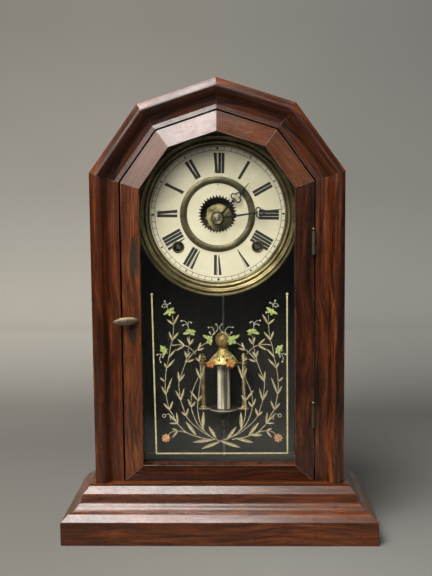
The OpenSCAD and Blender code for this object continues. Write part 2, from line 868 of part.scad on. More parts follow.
// Winding arbor: square for the key, ratchet wheel and spring hook
ratchet_n = 14;
ratchet_r = 9;
ratchet_t = 1.6;
square_w = 4;
module winding_arbor(at) {
    rod_y(at, winding_r, plate_y - 1, back_out_y + 1);
    translate([at[0] - square_w / 2, dial_y + 2, hub_z + at[1] - square_w / 2])
        cube([square_w, plate_y - dial_y - 2, square_w]);
    slab_y(great_y - ratchet_t - 0.3, great_y - 0.3, at)
        polygon([for (i = [0:ratchet_n - 1]) each [
            ratchet_r * [cos(360 * i / ratchet_n), sin(360 * i / ratchet_n)],
            (ratchet_r - 1.6) * [cos(360 * i / ratchet_n + 3), sin(360 * i / ratchet_n + 3)]]]);
}

module great_wheel(at, n, m, click) {
    difference() {
        train_wheel(at, great_y, great_t, n, m, 0, 4, winding_r + 8);
        rod_y(at, winding_r + fit, great_y - 1, great_y + great_t + 1);
    }
    // click and its rivet, riveted to a spoke
    click_at = at + (ratchet_r + 2.6) * [cos(click), sin(click)];
    rod_y(click_at, 1.4, great_y - ratchet_t - 0.3, great_y + great_t / 2);
    slab_y(great_y - ratchet_t - 0.3, great_y - 0.3, at)
        rotate(click)
            polygon([[ratchet_r + 1.6, -1.2], [ratchet_r + 4, -0.6],
                [ratchet_r + 1.4, 8], [ratchet_r + 0.4, 8]]);
}

module time_great_wheel()
    color(brass) great_wheel(time_great_at, time_great_n, time_great_m, 45);
module time_winding_arbor()
    color(steel) winding_arbor(time_great_at);
module strike_winding_arbor()
    color(steel) winding_arbor(strike_great_at);

// Count wheel with a notch after each hour's blows, riveted behind the strike great wheel
count_r = 15;
count_t = 1;
function blows_before(h) = h * (h + 1) / 2;
module strike_great_wheel()
    color(brass) {
        great_wheel(strike_great_at, strike_great_n, strike_great_m, 135);
        slab_y(great_y + great_t, great_y + great_t + count_t, strike_great_at)
            difference() {
                circle(r = count_r);
                circle(r = winding_r + 1);
                for (h = [1:12])
                    rotate(360 * blows_before(h) / 78)
                        translate([count_r, 0]) square([3, 0.8], center = true);
            }
    }

module time_second_wheel()
    color(brass)
        union() {
            arbor(time_second_at);
            lantern(time_second_at, great_y - 1, great_y + great_t + 1, time_great_m, time_second_turn);
            train_wheel(time_second_at, second_y, wheel_t, time_second_n, time_second_m);
            train_wheel(time_second_at, centre_y, wheel_t, centre_n, centre_m, 0, 2.4, 3);
        }

module time_third_wheel()
    color(brass)
        union() {
            arbor(time_third_at);
            lantern(time_third_at, second_y - 1.4, second_y + wheel_t + 0.8,
                time_second_m, time_third_turn);
            train_wheel(time_third_at, third_y, wheel_t, third_n, third_m);
        }

module escape_wheel()
    color(brass)
        union() {
            arbor(escape_at);
            lantern(escape_at, third_y - 1.4, third_y + wheel_t + 1.4, third_m, escape_turn);
            slab_y(escape_y, escape_y + wheel_t, escape_at)
                difference() {
                    polygon([for (i = [0:escape_n - 1]) each [
                        escape_r * [cos(360 * i / escape_n), sin(360 * i / escape_n)],
                        (escape_r - 1.8) * [cos(360 * i / escape_n + 2), sin(360 * i / escape_n + 2)]]]);
                    crossings(escape_r - 3.4, 3);
                }
        }

// Centre wheel: it carries the centre arbor round by friction, and lets it slip when the hands are set
module centre_wheel()
    color(brass)
        difference() {
            union() {
                train_wheel([0, 0], centre_y, wheel_t, centre_n, centre_m, centre_turn, 2.4, 3);
                rod_y([0, 0], centre_hole_r + 1, centre_y - 2, centre_y + wheel_t + 0.4);
            }
            rod_y([0, 0], centre_hole_r + fit, centre_y - 4, centre_y + wheel_t + 2);
        }

// Centre arbor with its friction collar and the cannon pinion in front
module centre_arbor()
    color(brass)
        union() {
            rod_y([0, 0], centre_hole_r, nut_y - 1.4, back_out_y + 0.6);
            rod_y([0, 0], cannon_r, minute_hand_y + hand_t, plate_y - 0.4);
            rod_y([0, 0], cannon_r, centre_y - 3, centre_y - 2.1);
            slab_y(minute_wheel_y - 0.4, minute_wheel_y + 2.2) leafed(leaf_n, minute_m);
        }

module minute_wheel()
    color(brass)
        difference() {
            union() {
                slab_y(minute_wheel_y, minute_wheel_y + wheel_t, stud_at)
                    difference() {
                        rotate(minute_turn) leafed(minute_wheel_n, minute_m);
                        crossings(minute_wheel_n * minute_m / 2 - 2.8, 4.6);
                    }
                slab_y(hour_wheel_y - 0.4, minute_wheel_y + wheel_t / 2, stud_at) leafed(leaf_n, hour_m);
            }
            rod_y(stud_at, stud_r + fit, hour_wheel_y - 2, plate_y);
        }

module hour_wheel()
    color(brass)
        difference() {
            union() {
                slab_y(hour_wheel_y, hour_wheel_y + 1)
                    rotate(hour_turn) leafed(hour_wheel_n, hour_m);
                rod_y([0, 0], pipe_r, hour_hand_y + hand_t, hour_wheel_y + 2.6);
            }
            rod_y([0, 0], cannon_r + fit, hour_hand_y - 3, hour_wheel_y + 4);
        }

// Hands: a tapering stem that opens into one trefoil loop, then a point
loop_wall = 1.25;
module trefoil(size) {
    circle(r = size * 0.8);
    for (s = [-1, 1]) translate([s * size * 0.92, 0]) circle(r = size);
    translate([0, size * 1.14]) circle(r = size);
}
module hand_shape(len, loops, size, hub, w0, w1) {
    circle(r = hub);
    polygon([[-w0 / 2, 0], [w0 / 2, 0], [w1 / 2, loops - size * 0.6], [-w1 / 2, loops - size * 0.6]]);
    for (s = [-1, 1]) translate([s * size * 0.42, loops - size * 1.25]) circle(r = size * 0.26);
    translate([0, loops])
        difference() {
            trefoil(size);
            offset(delta = -loop_wall) trefoil(size);
        }
    polygon([[-w1 * 0.6, loops + size * 1.9], [w1 * 0.6, loops + size * 1.9],
        [w1 * 0.2, len], [-w1 * 0.2, len]]);
}

module minute_hand()
    color(blued)
        slab_y(minute_hand_y, minute_hand_y + hand_t)
            difference() {
                rotate(-minute_dir) hand_shape(minute_len, minute_len * 0.629, 2.8, hub_r * 0.62, 2.6, 1.4);
                circle(r = centre_hole_r + seat);
            }

module hour_hand()
    color(blued)
        slab_y(hour_hand_y, hour_hand_y + hand_t)
            difference() {
                rotate(-hour_dir) hand_shape(hour_len, hour_len * 0.585, 3, hub_r, 3, 1.5);
                circle(r = cannon_r + fit);
            }

module hand_nut()
    color(brass)
        difference() {
            translate([0, minute_hand_y, hub_z])
                rotate([90, 0, 0])
                    rotate_extrude()
                        polygon([[0, 0], [nut_r * 0.86, 0], [nut_r * 0.98, 0.5], [nut_r, 1.1],
                            [nut_r * 0.9, 1.6], [nut_r * 0.78, 1.1], [nut_r * 0.66, 1.5],
                            [nut_r * 0.52, 1.1], [nut_r * 0.44, 1.5], [nut_r * 0.3, 2.2], [0, 2.3]]);
            rod_y([0, 0], centre_hole_r + seat, nut_y - 3, minute_hand_y + 1);
        }

// Verge: a bent strap over the escape wheel, its arbor and the crutch behind the back plate
strap_in = 1.3;
strap_t = 1.6;
crutch_y = back_out_y + 1.2;
crutch_len = suspension_up * 0.105;
fork_in = rod_r + 0.4;
fork_out = fork_in + 1.2;
module verge()
    color(steel)
        union() {
            rod_y(verge_at, arbor_r, front_in_y + shoulder, back_in_y - shoulder);
            rod_y(verge_at, pivot_r, plate_y - 0.4, crutch_y + 1.6);
            slab_y(escape_y - 0.2, escape_y + wheel_t + 0.2, escape_at)
                union() {
                    difference() {
                        circle(r = escape_r + strap_in + strap_t);
                        circle(r = escape_r + strap_in);
                        translate([0, -past / 2 + escape_r * 0.72]) square(past, center = true);
                    }
                    translate([-1, escape_r + strap_in + 0.6])
                        square([2, verge_rise - escape_r - strap_in - 0.2]);
                    translate([0, verge_rise]) circle(r = arbor_r + 1);
                }
            // crutch wire and its fork round the rod
            slab_y(crutch_y, crutch_y + 1.4)
                union() {
                    translate(verge_at) circle(r = 2);
                    translate([pendulum_x - 0.8, crutch_len]) square([1.6, verge_at[1] - crutch_len]);
                    translate([pendulum_x - fork_out, crutch_len - 1.4]) square([2 * fork_out, 2.4]);
                }
            for (s = [-1, 1])
                translate([pendulum_x + (s > 0 ? fork_in : -fork_out), crutch_y, hub_z + crutch_len - 1.4])
                    cube([fork_out - fork_in, pendulum_y + 3 - crutch_y, 2.4]);
        }

// Suspension post on the back plate, with a slot and a bore for the spring's pin
hang_pin_r = 0.8;
block_w = 7;
block_d = 5;
slot_w = 2.4;
spring_strip_t = 0.3;
strip_w = 2.6;
post_foot_z = verge_at[1] + 3.4;
module suspension_post() {
    z0 = hang_at[1];
    color(brass)
        difference() {
            union() {
                slab_y(pendulum_y - block_d / 2, pendulum_y + block_d / 2, hang_at)
                    translate([-block_w / 2, -2.4]) square([block_w, 6]);
                rod_y([pendulum_x, z0 + 1.6], 1.8, back_out_y, pendulum_y);
                slab_y(back_out_y, back_out_y + 2)
                    translate([pendulum_x - tab_w / 3, post_foot_z])
                            square([tab_w * 2 / 3, z0 + 4 - post_foot_z]);
            }
            rod_y(hang_at, hang_pin_r + fit, pendulum_y - block_d, pendulum_y + block_d);
            translate([pendulum_x - slot_w / 2, pendulum_y - strip_w / 2 - 0.2, suspension_z - 10])
                cube([slot_w, strip_w + 0.4, 10.8]);
        }
}

// Pendulum
spring_len = 24;
module pendulum_rod()
    color(steel)
        union() {
            rod_y(hang_at, hang_pin_r, pendulum_y - block_d / 2, pendulum_y + block_d / 2);
            on_rod(suspension_z - spring_len / 2)
                cube([spring_strip_t, strip_w, spring_len], center = true);
            on_rod(rod_end_z)
                cylinder(r = rod_r, h = suspension_z - spring_len + 2 - rod_end_z);
            on_rod(suspension_z - spring_len - 0.5)
                cube([2.8, 2.8, 5], center = true);
        }

module on_rod(z)
    translate([pendulum_x, pendulum_y, z])
        children();

rod_bore = rod_r + seat;
jar_top = jar_z + jar_h;
cap_z = jar_top + 0.6;
ball_neck = 0.5;
module bob_ball()
    color(brass)
        on_rod(cap_z + cap_h + 0.1 + ball_neck + ball_r)
            difference() {
                union() {
                    sphere(r = ball_r);
                    translate([0, 0, -ball_r - ball_neck]) cylinder(r = ball_r * 0.3, h = 3);
                }
                translate([0, 0, -past / 2]) cylinder(r = rod_bore, h = past);
            }

cap_wall = 1.2;
cap_holes = 10;
module bob_cap()
    color(brass)
        on_rod(cap_z)
            difference() {
                rotate_extrude()
                    polygon([[rod_bore, cap_h], [cap_r * 0.3, cap_h], [cap_r * 0.34, cap_h * 0.96],
                        [cap_r * 0.31, cap_h * 0.9], [cap_r * 0.44, cap_h * 0.74],
                        [cap_r * 0.74, cap_h * 0.44], [cap_r * 0.9, cap_h * 0.24],
                        [cap_r * 0.95, cap_h * 0.13],
                        [cap_r, cap_h * 0.1], [cap_r, cap_h * 0.03], [cap_r * 0.96, 0],
                        [cap_r - cap_wall, 0], [cap_r * 0.86, cap_h * 0.16],
                        [cap_r * 0.64, cap_h * 0.38],
                        [cap_r * 0.32, cap_h * 0.64], [rod_bore, cap_h * 0.68]]);
                for (i = [0:cap_holes - 1], row = [0, 1])
                    rotate([0, 0, 360 * (i + row / 2) / cap_holes])
                        translate([3, 0, cap_h * (0.3 + 0.22 * row)]) rotate([0, 90, 0])
                            cylinder(r = 1.35 - 0.35 * row, h = cap_r);
            }

jar_wall = 0.9;
module bob_jar()
    color([0.8, 0.86, 0.88, 0.5])
        on_rod(jar_z)
            rotate_extrude()
                polygon([[jar_r - jar_wall, 0], [jar_r, 0], [jar_r, jar_h], [jar_r - jar_wall, jar_h]]);

core_gap = 0.3;
core_r = jar_r - jar_wall - core_gap;
module bob_core()
    color([0.75, 0.76, 0.78])
        on_rod(jar_z)
            rotate_extrude()
                polygon([[rod_bore, 0], [core_r, 0], [core_r, jar_h - 3],
                    [core_r - 1.2, jar_h - 1], [rod_bore, jar_h - 1]]);

// Top strip and the two turned posts that carry it
strip_t = 0.6;
post_wire_r = 2;
ring_r = 3.2;
module bob_frame()
    color(brass)
        on_rod(jar_top)
            union() {
                difference() {
                    union() {
                        translate([-post_x, -2.5, 0]) cube([2 * post_x, 5, strip_t]);
                        cylinder(r = jar_r + 1, h = strip_t);
                    }
                    translate([0, 0, -1]) cylinder(r = rod_bore, h = 3);
                }
                for (s = [-1, 1])
                    translate([s * post_x, 0, -jar_h])
                        rotate_extrude()
                            polygon([[0, 0], [ring_r, 0], [ring_r, jar_h * 0.02],
                                [post_wire_r, jar_h * 0.05], [post_wire_r, jar_h * 0.95],
                                [ring_r * 0.8, jar_h * 0.97], [ring_r, jar_h],
                                [ring_r, jar_h * 1.03], [post_wire_r, jar_h * 1.04],
                                [post_wire_r, jar_h * 1.07], [ring_r, jar_h * 1.08],
                                [ring_r, jar_h * 1.1], [post_wire_r, jar_h * 1.11],
                                [ring_r * 0.85, jar_h * 1.13], [ring_r * 0.8, jar_h * 1.16],
                                [post_wire_r * 0.6, jar_h * 1.18], [post_wire_r * 0.7, jar_h * 1.21],
                                [0, jar_h * 1.225]]);
            }

// Foot plate with lobed ends and the cup below it
foot_t = 2.4;
module bob_foot_plate()
    color(brass)
        on_rod(jar_z - foot_t)
            difference() {
                union() {
                    linear_extrude(height = foot_t)
                        union() {
                            circle(r = cap_r * 0.97);
                            for (s = [-1, 1]) {
                                translate([s * post_x, 0]) circle(r = foot_plate_w * 0.15);
                                translate([s * foot_plate_w * 0.88, 0]) circle(r = foot_plate_w * 0.12);
                                translate([s * post_x / 2, 0])
                                    square([post_x, foot_plate_w * 0.2], center = true);
                            }
                        }
                    rotate_extrude()
                        polygon([[0, 0.2], [jar_r + 1, 0.2], [jar_r - 1.6, -3], [4.6, -6.6], [3, -9.6],
                            [3.8, -11], [3.8, -12.4], [0, -12.4]]);
                }
                translate([0, 0, -past / 2]) cylinder(r = rod_bore, h = past);
            }

nut_z = jar_z - foot_t - 12.6;
module rating_nut()
    color(brass)
        on_rod(nut_z)
            difference() {
                rotate_extrude()
                    polygon([[0, 0], [rating_nut_r - 1, 0], [rating_nut_r, -0.8], [rating_nut_r, -3],
                        [rating_nut_r - 1, -3.8], [2.2, -4.4], [2, -8], [0, -8]]);
                translate([0, 0, -past / 2]) cylinder(r = rod_bore, h = past);
            }

// Strike train
module strike_second_wheel() {
    pin_r = 0.6;
    pin_circle = 15;
    color(brass)
        union() {
            arbor(strike_second_at);
            lantern(strike_second_at, great_y - 1, great_y + great_t + 1,
                strike_great_m, strike_second_turn);
            train_wheel(strike_second_at, second_y, wheel_t, strike_second_n, strike_second_m, 0, 6);
            // six pins that lift the hammer
            for (i = [0:5])
                rod_y(strike_second_at + pin_circle * [cos(60 * i + 20), sin(60 * i + 20)], pin_r,
                    second_y - 1.8, second_y + wheel_t / 2);
        }
}

module strike_third_wheel()
    color(brass)
        union() {
            arbor(strike_third_at);
            lantern(strike_third_at, second_y - 1.4, second_y + wheel_t + 0.8,
                strike_second_m, strike_third_turn);
            train_wheel(strike_third_at, third_y, wheel_t, third_n, third_m);
            // locking cam
            slab_y(third_y + wheel_t, third_y + wheel_t + 1, strike_third_at)
                difference() {
                    circle(r = 4.4);
                    translate([4, 0]) square([2.4, 2], center = true);
                }
        }

module warning_wheel()
    color(brass)
        union() {
            arbor(warning_at);
            lantern(warning_at, third_y - 1.4, third_y + wheel_t + 1.4, third_m, warning_turn);
            train_wheel(warning_at, warning_y, wheel_t, warning_n, warning_m);
            rod_y(warning_at + [warning_m * warning_n * 0.4, 0], 0.5, warning_y - 2, warning_y + wheel_t / 2);
        }

fly_r = 9;
module fly()
    color(brass)
        union() {
            arbor(fly_at);
            lantern(fly_at, warning_y - 1.2, warning_y + wheel_t + 1.2, warning_m, fly_turn);
            slab_y(warning_y + wheel_t + 3, warning_y + wheel_t + 10.5, fly_at)
                union() {
                    square([2 * fly_r, 0.5], center = true);
                    circle(r = arbor_r + 0.6);
                }
        }

// Hammer: arbor, tail in the path of the pins, stem and head beside the gong
hammer_y = back_out_y + 9;
hammer_head_r = 3;
hammer_gap = 2.4;
module hammer() {
    drop = gong_at[1] - hammer_at[1];
    head_x = gong_at[0] - gong_r - gong_wire_r - hammer_gap;
    color(brass)
        union() {
            arbor(hammer_at);
            rod_y(hammer_at, pivot_r, plate_y - 0.4, hammer_y);
            rod_y(hammer_at, 2, hammer_y - 1, hammer_y + 1.6);
            slab_y(second_y - 1.8, second_y - 0.6, hammer_at)
                union() {
                    circle(r = 2);
                    rotate(-38) translate([0, -0.8]) square([8, 1.6]);
                }
            slab_y(hammer_y, hammer_y + 1.4, hammer_at)
                translate([-0.7, drop]) square([1.4, -drop]);
            rod_y(hammer_at + [0, drop], 1, hammer_y, gong_y);
            translate([hammer_at[0] - 3, gong_y, hub_z + gong_at[1]])
                rotate([0, 90, 0]) cylinder(r = hammer_head_r, h = head_x - hammer_at[0] + 3);
        }
}

module gong_base()
    color([0.13, 0.13, 0.14])
        difference() {
            union() {
                rod_y(gong_at, gong_post_r, back_board_y - 8, back_board_y);
                rod_y(gong_at, gong_post_r * 0.6, back_board_y - 9.4, back_board_y - 7);
            }
            rod_y(gong_at, 1, back_board_y - 12, back_board_y - 6);
        }

// Gong wire: one unbroken tube that spirals out from the post
gong_steps = 24;
gong_sides = 6;
function gong_r_at(i) = gong_post_r + 0.1 + gong_pitch * i / gong_steps;
function gong_point(i, j) =
    let (a = 360 * i / gong_steps, b = 360 * j / gong_sides,
         r = gong_r_at(i) + gong_wire_r + gong_wire_r * cos(b))
    [gong_at[0] + r * cos(a), gong_y + gong_wire_r * sin(b), hub_z + gong_at[1] + r * sin(a)];
module gong_coil() {
    n = gong_turns * gong_steps - gong_steps / 2;
    color([0.12, 0.13, 0.2])
        polyhedron(
            points = [for (i = [0:n]) for (j = [0:gong_sides - 1]) gong_point(i, j)],
            faces = concat(
                [[for (j = [0:gong_sides - 1]) j]],
                [[for (j = [gong_sides - 1:-1:0]) n * gong_sides + j]],
                [for (i = [0:n - 1]) for (j = [0:gong_sides - 1]) each [
                    [i * gong_sides + j, (i + 1) * gong_sides + j, i * gong_sides + (j + 1) % gong_sides],
                    [i * gong_sides + (j + 1) % gong_sides, (i + 1) * gong_sides + j,
                     (i + 1) * gong_sides + (j + 1) % gong_sides]]]));
}

base_mouldings();
base_inner_boards();
base_top_board();
door_sill();
side_boards();
roof_boards();
back_board();
front_stiles();
front_arch();
case_hinge_leaves();
hinge_pins();
dial_pan();
dial_bezel();
dial_ring();
winding_grommets();
dial_feet();
front_plate();
back_plate();
plate_pillars();
movement_posts();
mainsprings();
suspension_post();
gong_base();
gong_coil();
door_stiles();
door_arch();
door_bottom_rail();
door_glass();
glass_beads();
door_hinge_leaves();
latch_knob();
latch_spindle();
centre_wheel();
centre_arbor();
minute_hand();
hand_nut();
minute_wheel();
hour_wheel();
hour_hand();
time_great_wheel();
time_winding_arbor();
time_second_wheel();
time_third_wheel();
escape_wheel();
verge();
pendulum_rod();
bob_ball();
bob_cap();
bob_jar();
bob_core();
bob_frame();
bob_foot_plate();
rating_nut();
strike_great_wheel();
strike_winding_arbor();
strike_second_wheel();
strike_third_wheel();
warning_wheel();
fly();
hammer();
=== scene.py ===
import math
import bmesh
import bpy
from mathutils import Matrix, Vector


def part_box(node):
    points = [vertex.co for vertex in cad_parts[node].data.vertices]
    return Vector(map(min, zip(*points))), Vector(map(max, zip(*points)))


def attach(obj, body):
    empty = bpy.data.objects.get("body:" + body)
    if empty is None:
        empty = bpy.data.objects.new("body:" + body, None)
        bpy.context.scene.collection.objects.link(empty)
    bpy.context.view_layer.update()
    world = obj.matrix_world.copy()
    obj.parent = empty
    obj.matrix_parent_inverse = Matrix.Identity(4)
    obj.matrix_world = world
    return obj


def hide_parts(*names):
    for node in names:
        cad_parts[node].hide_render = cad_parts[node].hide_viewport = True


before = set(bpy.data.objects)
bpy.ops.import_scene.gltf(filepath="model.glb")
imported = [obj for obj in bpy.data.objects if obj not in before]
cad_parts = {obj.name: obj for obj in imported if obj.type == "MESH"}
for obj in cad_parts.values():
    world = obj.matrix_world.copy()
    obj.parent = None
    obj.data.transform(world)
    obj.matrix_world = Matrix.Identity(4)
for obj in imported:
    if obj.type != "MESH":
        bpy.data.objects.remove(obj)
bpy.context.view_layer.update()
mm = 0.001

# Base mouldings
# Three strips run to one ogee section and veneered in rosewood, with the grain along each strip.
# They are mitred at the two front corners and glued round the boards of the base.


def finish(name):
    """A new finish, and the call that adds a node to it with its settings, values and links.
    A socket goes by its name, or by its number after no_."""
    material = bpy.data.materials.new(name)
    material.use_nodes = True
    tree = material.node_tree
    tree.nodes.clear()

    def add(kind, settings=None, **sockets):
        node = tree.nodes.new("ShaderNode" + kind)
        for key, value in (settings or {}).items():
            setattr(node, key, value)
        for key, value in sockets.items():
            at = int(key[3:]) if key.startswith("no_") else key.replace("_", " ")
            if isinstance(value, bpy.types.NodeSocket):
                tree.links.new(value, node.inputs[at])
            else:
                node.inputs[at].default_value = value
        return node

    return material, add


def shades(add, factor, *stops):
    """A colour that follows factor through the stops."""
    node = add("ValToRGB", Fac=factor)
    points = node.color_ramp.elements
    points.remove(points[1])
    points[0].position = stops[0][0]
    points[0].color = (*stops[0][1], 1)
    for at, colour in stops[1:]:
        points.new(at).color = (*colour, 1)
    return node.outputs["Color"]


def blended(add, factor, first, second, way="MIX"):
    """Two colours mixed by factor."""
    node = add("Mix", {"data_type": "RGBA", "blend_type": way}, no_0=factor, no_6=first, no_7=second)
    return node.outputs[2]


def reckon(add, way, first, second):
    """One sum in the nodes."""
    return add("Math", {"operation": way}, no_0=first, no_1=second).outputs[0]


def spans(add, value, low, high, to_low=0.0, to_high=1.0):
    """A value carried from one range to another, and held there."""
    node = add("MapRange", no_0=value, no_1=low, no_2=high, no_3=to_low, no_4=to_high)
    return node.outputs[0]


def wood(name, seed, dark, middle, light, figure=170.0, shine=0.27, pores=0.5, even=0.0, gloss=0.2,
        mirror=0.5, stains=()):
    """Veneer with streaks along its own X, pores and a rubbed shellac shine. Each stain is dark and
    oval, given by its middle and its half sizes along the grain and across it."""
    material, add = finish(name)
    place = add("TexCoord").outputs["Object"]
    drift = add("TexNoise", Vector=place, Scale=9.0, Detail=1.0).outputs["Color"]
    bent = add("VectorMath", {"operation": "MULTIPLY_ADD"}, no_0=drift, no_1=(0, 0.02, 0.02),
        no_2=place).outputs[0]
    shift = (seed * 0.37, seed * 0.73, seed * 0.19)
    drawn = add("Mapping", Vector=bent, Location=shift, Scale=(0.055, 1, 1)).outputs[0]
    thin = add("Mapping", Vector=bent, Location=shift, Scale=(0.025, 1, 1)).outputs[0]
    streak = add("TexNoise", Vector=drawn, Scale=figure, Detail=5.0, Roughness=0.62,
        Distortion=0.5).outputs["Fac"]
    band = add("TexNoise", Vector=drawn, Scale=figure * 0.3, Detail=2.0).outputs["Fac"]
    both = reckon(add, "ADD", reckon(add, "MULTIPLY", streak, 0.62), reckon(add, "MULTIPLY", band, 0.38))
    colour = shades(add, both, (0.40 - even, dark), (0.47 - even * 0.5, tuple(
        0.5 * a + 0.5 * b for a, b in zip(dark, middle))), (0.52, middle), (0.60 + even, light))
    line = add("TexNoise", Vector=thin, Scale=900.0, Detail=3.0).outputs["Fac"]
    colour = blended(add, spans(add, line, 0.38, 0.62, 0.0, 0.6), colour, (*dark, 1))
    dash = add("Mapping", Vector=place, Location=shift, Scale=(0.09, 1, 1)).outputs[0]
    pore = spans(add, add("TexNoise", Vector=dash, Scale=2400.0, Detail=1.0).outputs["Fac"], 0.56, 0.68)
    colour = blended(add, reckon(add, "MULTIPLY", pore, pores), colour,
        tuple(v * 0.25 for v in dark) + (1,))
    for u, v, long, wide in stains:
        oval = add("Mapping", Vector=place, Location=(-u / long, -v / wide, 0),
            Scale=(1 / long, 1 / wide, 0)).outputs[0]
        away = reckon(add, "ADD", add("VectorMath", {"operation": "LENGTH"}, no_0=oval).outputs["Value"],
            spans(add, streak, 0.3, 0.7, -0.25, 0.25))
        colour = blended(add, spans(add, away, 0.6, 1.15, 0.95, 0.0), colour, (0.019, 0.013, 0.008, 1))
    dull = add("TexNoise", Vector=place, Scale=60.0, Detail=4.0, Roughness=0.6).outputs["Fac"]
    rough = reckon(add, "ADD", spans(add, dull, 0.3, 0.75, shine - 0.05, shine + 0.09),
        reckon(add, "MULTIPLY", pore, 0.2))
    height = reckon(add, "SUBTRACT", reckon(add, "MULTIPLY", line, 0.3), pore)
    bump = add("Bump", Strength=0.35, Distance=0.05 * mm, Height=height).outputs[0]
    shader = add("BsdfPrincipled", Base_Color=colour, Roughness=rough, Normal=bump,
        Specular_IOR_Level=mirror, Coat_Weight=gloss, Coat_Roughness=0.18)
    add("OutputMaterial", Surface=shader.outputs[0])
    return material


def solids_of(node):
    """The separate solids of a CAD node, each a bmesh in the shared frame, from left to right."""
    whole = bmesh.new()
    whole.from_mesh(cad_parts[node].data)
    bmesh.ops.remove_doubles(whole, verts=whole.verts, dist=0.002 * mm)
    taken = set()
    found = []
    for first in whole.faces:
        if first in taken:
            continue
        taken.add(first)
        group = [first]
        for face in group:
            for edge in face.edges:
                for other in edge.link_faces:
                    if other not in taken:
                        taken.add(other)
                        group.append(other)
        part = bmesh.new()
        made = {}
        for face in group:
            for vert in face.verts:
                if vert not in made:
                    made[vert] = part.verts.new(vert.co)
            part.faces.new([made[vert] for vert in face.verts])
        bmesh.ops.dissolve_limit(part, angle_limit=math.radians(0.4), verts=part.verts, edges=part.edges)
        found.append(part)
    whole.free()
    return sorted(found, key=lambda part: sum(v.co.x for v in part.verts) / len(part.verts))


def board(name, solid, along, out, body, node, finishes, edge=0.4 * mm, inside=False,
        crisp=40):
    """One solid as a board: its own X runs along the grain and its Z out of its face.
    Its arrises are eased by edge and take the second finish, and what faces in can take the third.
    Faces that meet at less than crisp degrees are shaded as one curve."""
    least_arris = math.radians(33)
    x = Vector(along).normalized()
    z = (Vector(out) - x * x.dot(Vector(out))).normalized()
    middle = sum((v.co for v in solid.verts), Vector()) / len(solid.verts)
    place = Matrix.Translation(middle) @ Matrix((x, z.cross(x), z)).transposed().to_4x4()
    bmesh.ops.transform(solid, matrix=place.inverted(), verts=solid.verts)
    bmesh.ops.recalc_face_normals(solid, faces=solid.faces)
    if inside:
        for face in solid.faces:
            if face.normal.z < -0.5:
                face.material_index = 2
    sharp = [e for e in solid.edges if len(e.link_faces) == 2 and e.calc_face_angle(0) > least_arris]
    bmesh.ops.bevel(solid, geom=sharp, offset=edge, segments=2, profile=0.6, affect="EDGES",
        clamp_overlap=True, material=1)
    mesh = bpy.data.meshes.new(name)
    solid.to_mesh(mesh)
    solid.free()
    for item in finishes:
        mesh.materials.append(item)
    mesh.shade_smooth()
    mesh.set_sharp_from_angle(angle=math.radians(crisp))
    piece = bpy.data.objects.new(name, mesh)
    bpy.context.scene.collection.objects.link(piece)
    piece.matrix_world = place
    piece.modifiers.new("even shading", "WEIGHTED_NORMAL").keep_sharp = True
    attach(piece, body)
    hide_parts(node)


base_veneer = wood("rosewood base", 3, (0.026, 0.0066, 0.0018), (0.088, 0.0205, 0.0040),
    (0.145, 0.038, 0.008), figure=340.0, shine=0.30, gloss=0.25, mirror=0.35)
worn_edge = wood("rosewood worn edge", 5, (0.035, 0.011, 0.004), (0.085, 0.028, 0.011),
    (0.14, 0.056, 0.026), figure=300.0, shine=0.3)
ogee_crisp = 20.5
for name, strip, along, out in zip(("base_strip_left", "base_strip_front", "base_strip_right"),
        solids_of("base_mouldings"), ((0, 1, 0), (1, 0, 0), (0, 1, 0)),
        ((-1, 0, 0), (0, -1, 0), (1, 0, 0))):
    board(name, strip, along, out, "case", "base_mouldings",
        (base_veneer, worn_edge), crisp=ogee_crisp)

# Base boards
# Softwood boards that fill the base behind the mouldings, and the top board that the case stands on.
# The top board's rim is veneered and its middle coloured nearly black; nails hold it down on the inner
# boards.
pine_dark = (0.16, 0.085, 0.035)
pine_middle = (0.30, 0.175, 0.078)
pine_light = (0.40, 0.25, 0.12)
bare_pine = wood("bare pine", 8, pine_dark, pine_middle, pine_light, figure=120.0, shine=0.62,
    pores=0.15, even=0.05)
pine_edge = wood("pine edge", 9, pine_dark, (0.36, 0.22, 0.10), (0.46, 0.30, 0.16), figure=200.0,
    shine=0.6, pores=0.1, even=0.05)
board("base_inner_board", solids_of("base_inner_boards")[0], (1, 0, 0), (0, 0, -1), "case",
    "base_inner_boards", (bare_pine, pine_edge))
top_board = solids_of("base_top_board")[0]
dark_middle_side = 111 * mm
dark_middle_front = -27 * mm
for at, way in (((-dark_middle_side, 0, 0), (1, 0, 0)), ((dark_middle_side, 0, 0), (1, 0, 0)),
        ((0, dark_middle_front, 0), (0, 1, 0))):
    bmesh.ops.bisect_plane(top_board, geom=top_board.verts[:] + top_board.edges[:] + top_board.faces[:],
        plane_co=at, plane_no=way)
top_board.normal_update()
for face in top_board.faces:
    middle = face.calc_center_median()
    if face.normal.z > 0.5 and abs(middle.x) < dark_middle_side and middle.y > dark_middle_front:
        face.material_index = 2
# Nearly black, for the faces inside the case
near_black_inside = wood("near-black inside", 12, (0.004, 0.0035, 0.003), (0.010, 0.008, 0.006),
    (0.018, 0.014, 0.010), figure=120.0, shine=0.6, pores=0.2)
board("base_top_board_veneered", top_board, (1, 0, 0), (0, 0, 1), "case", "base_top_board",
    (base_veneer, worn_edge, near_black_inside))
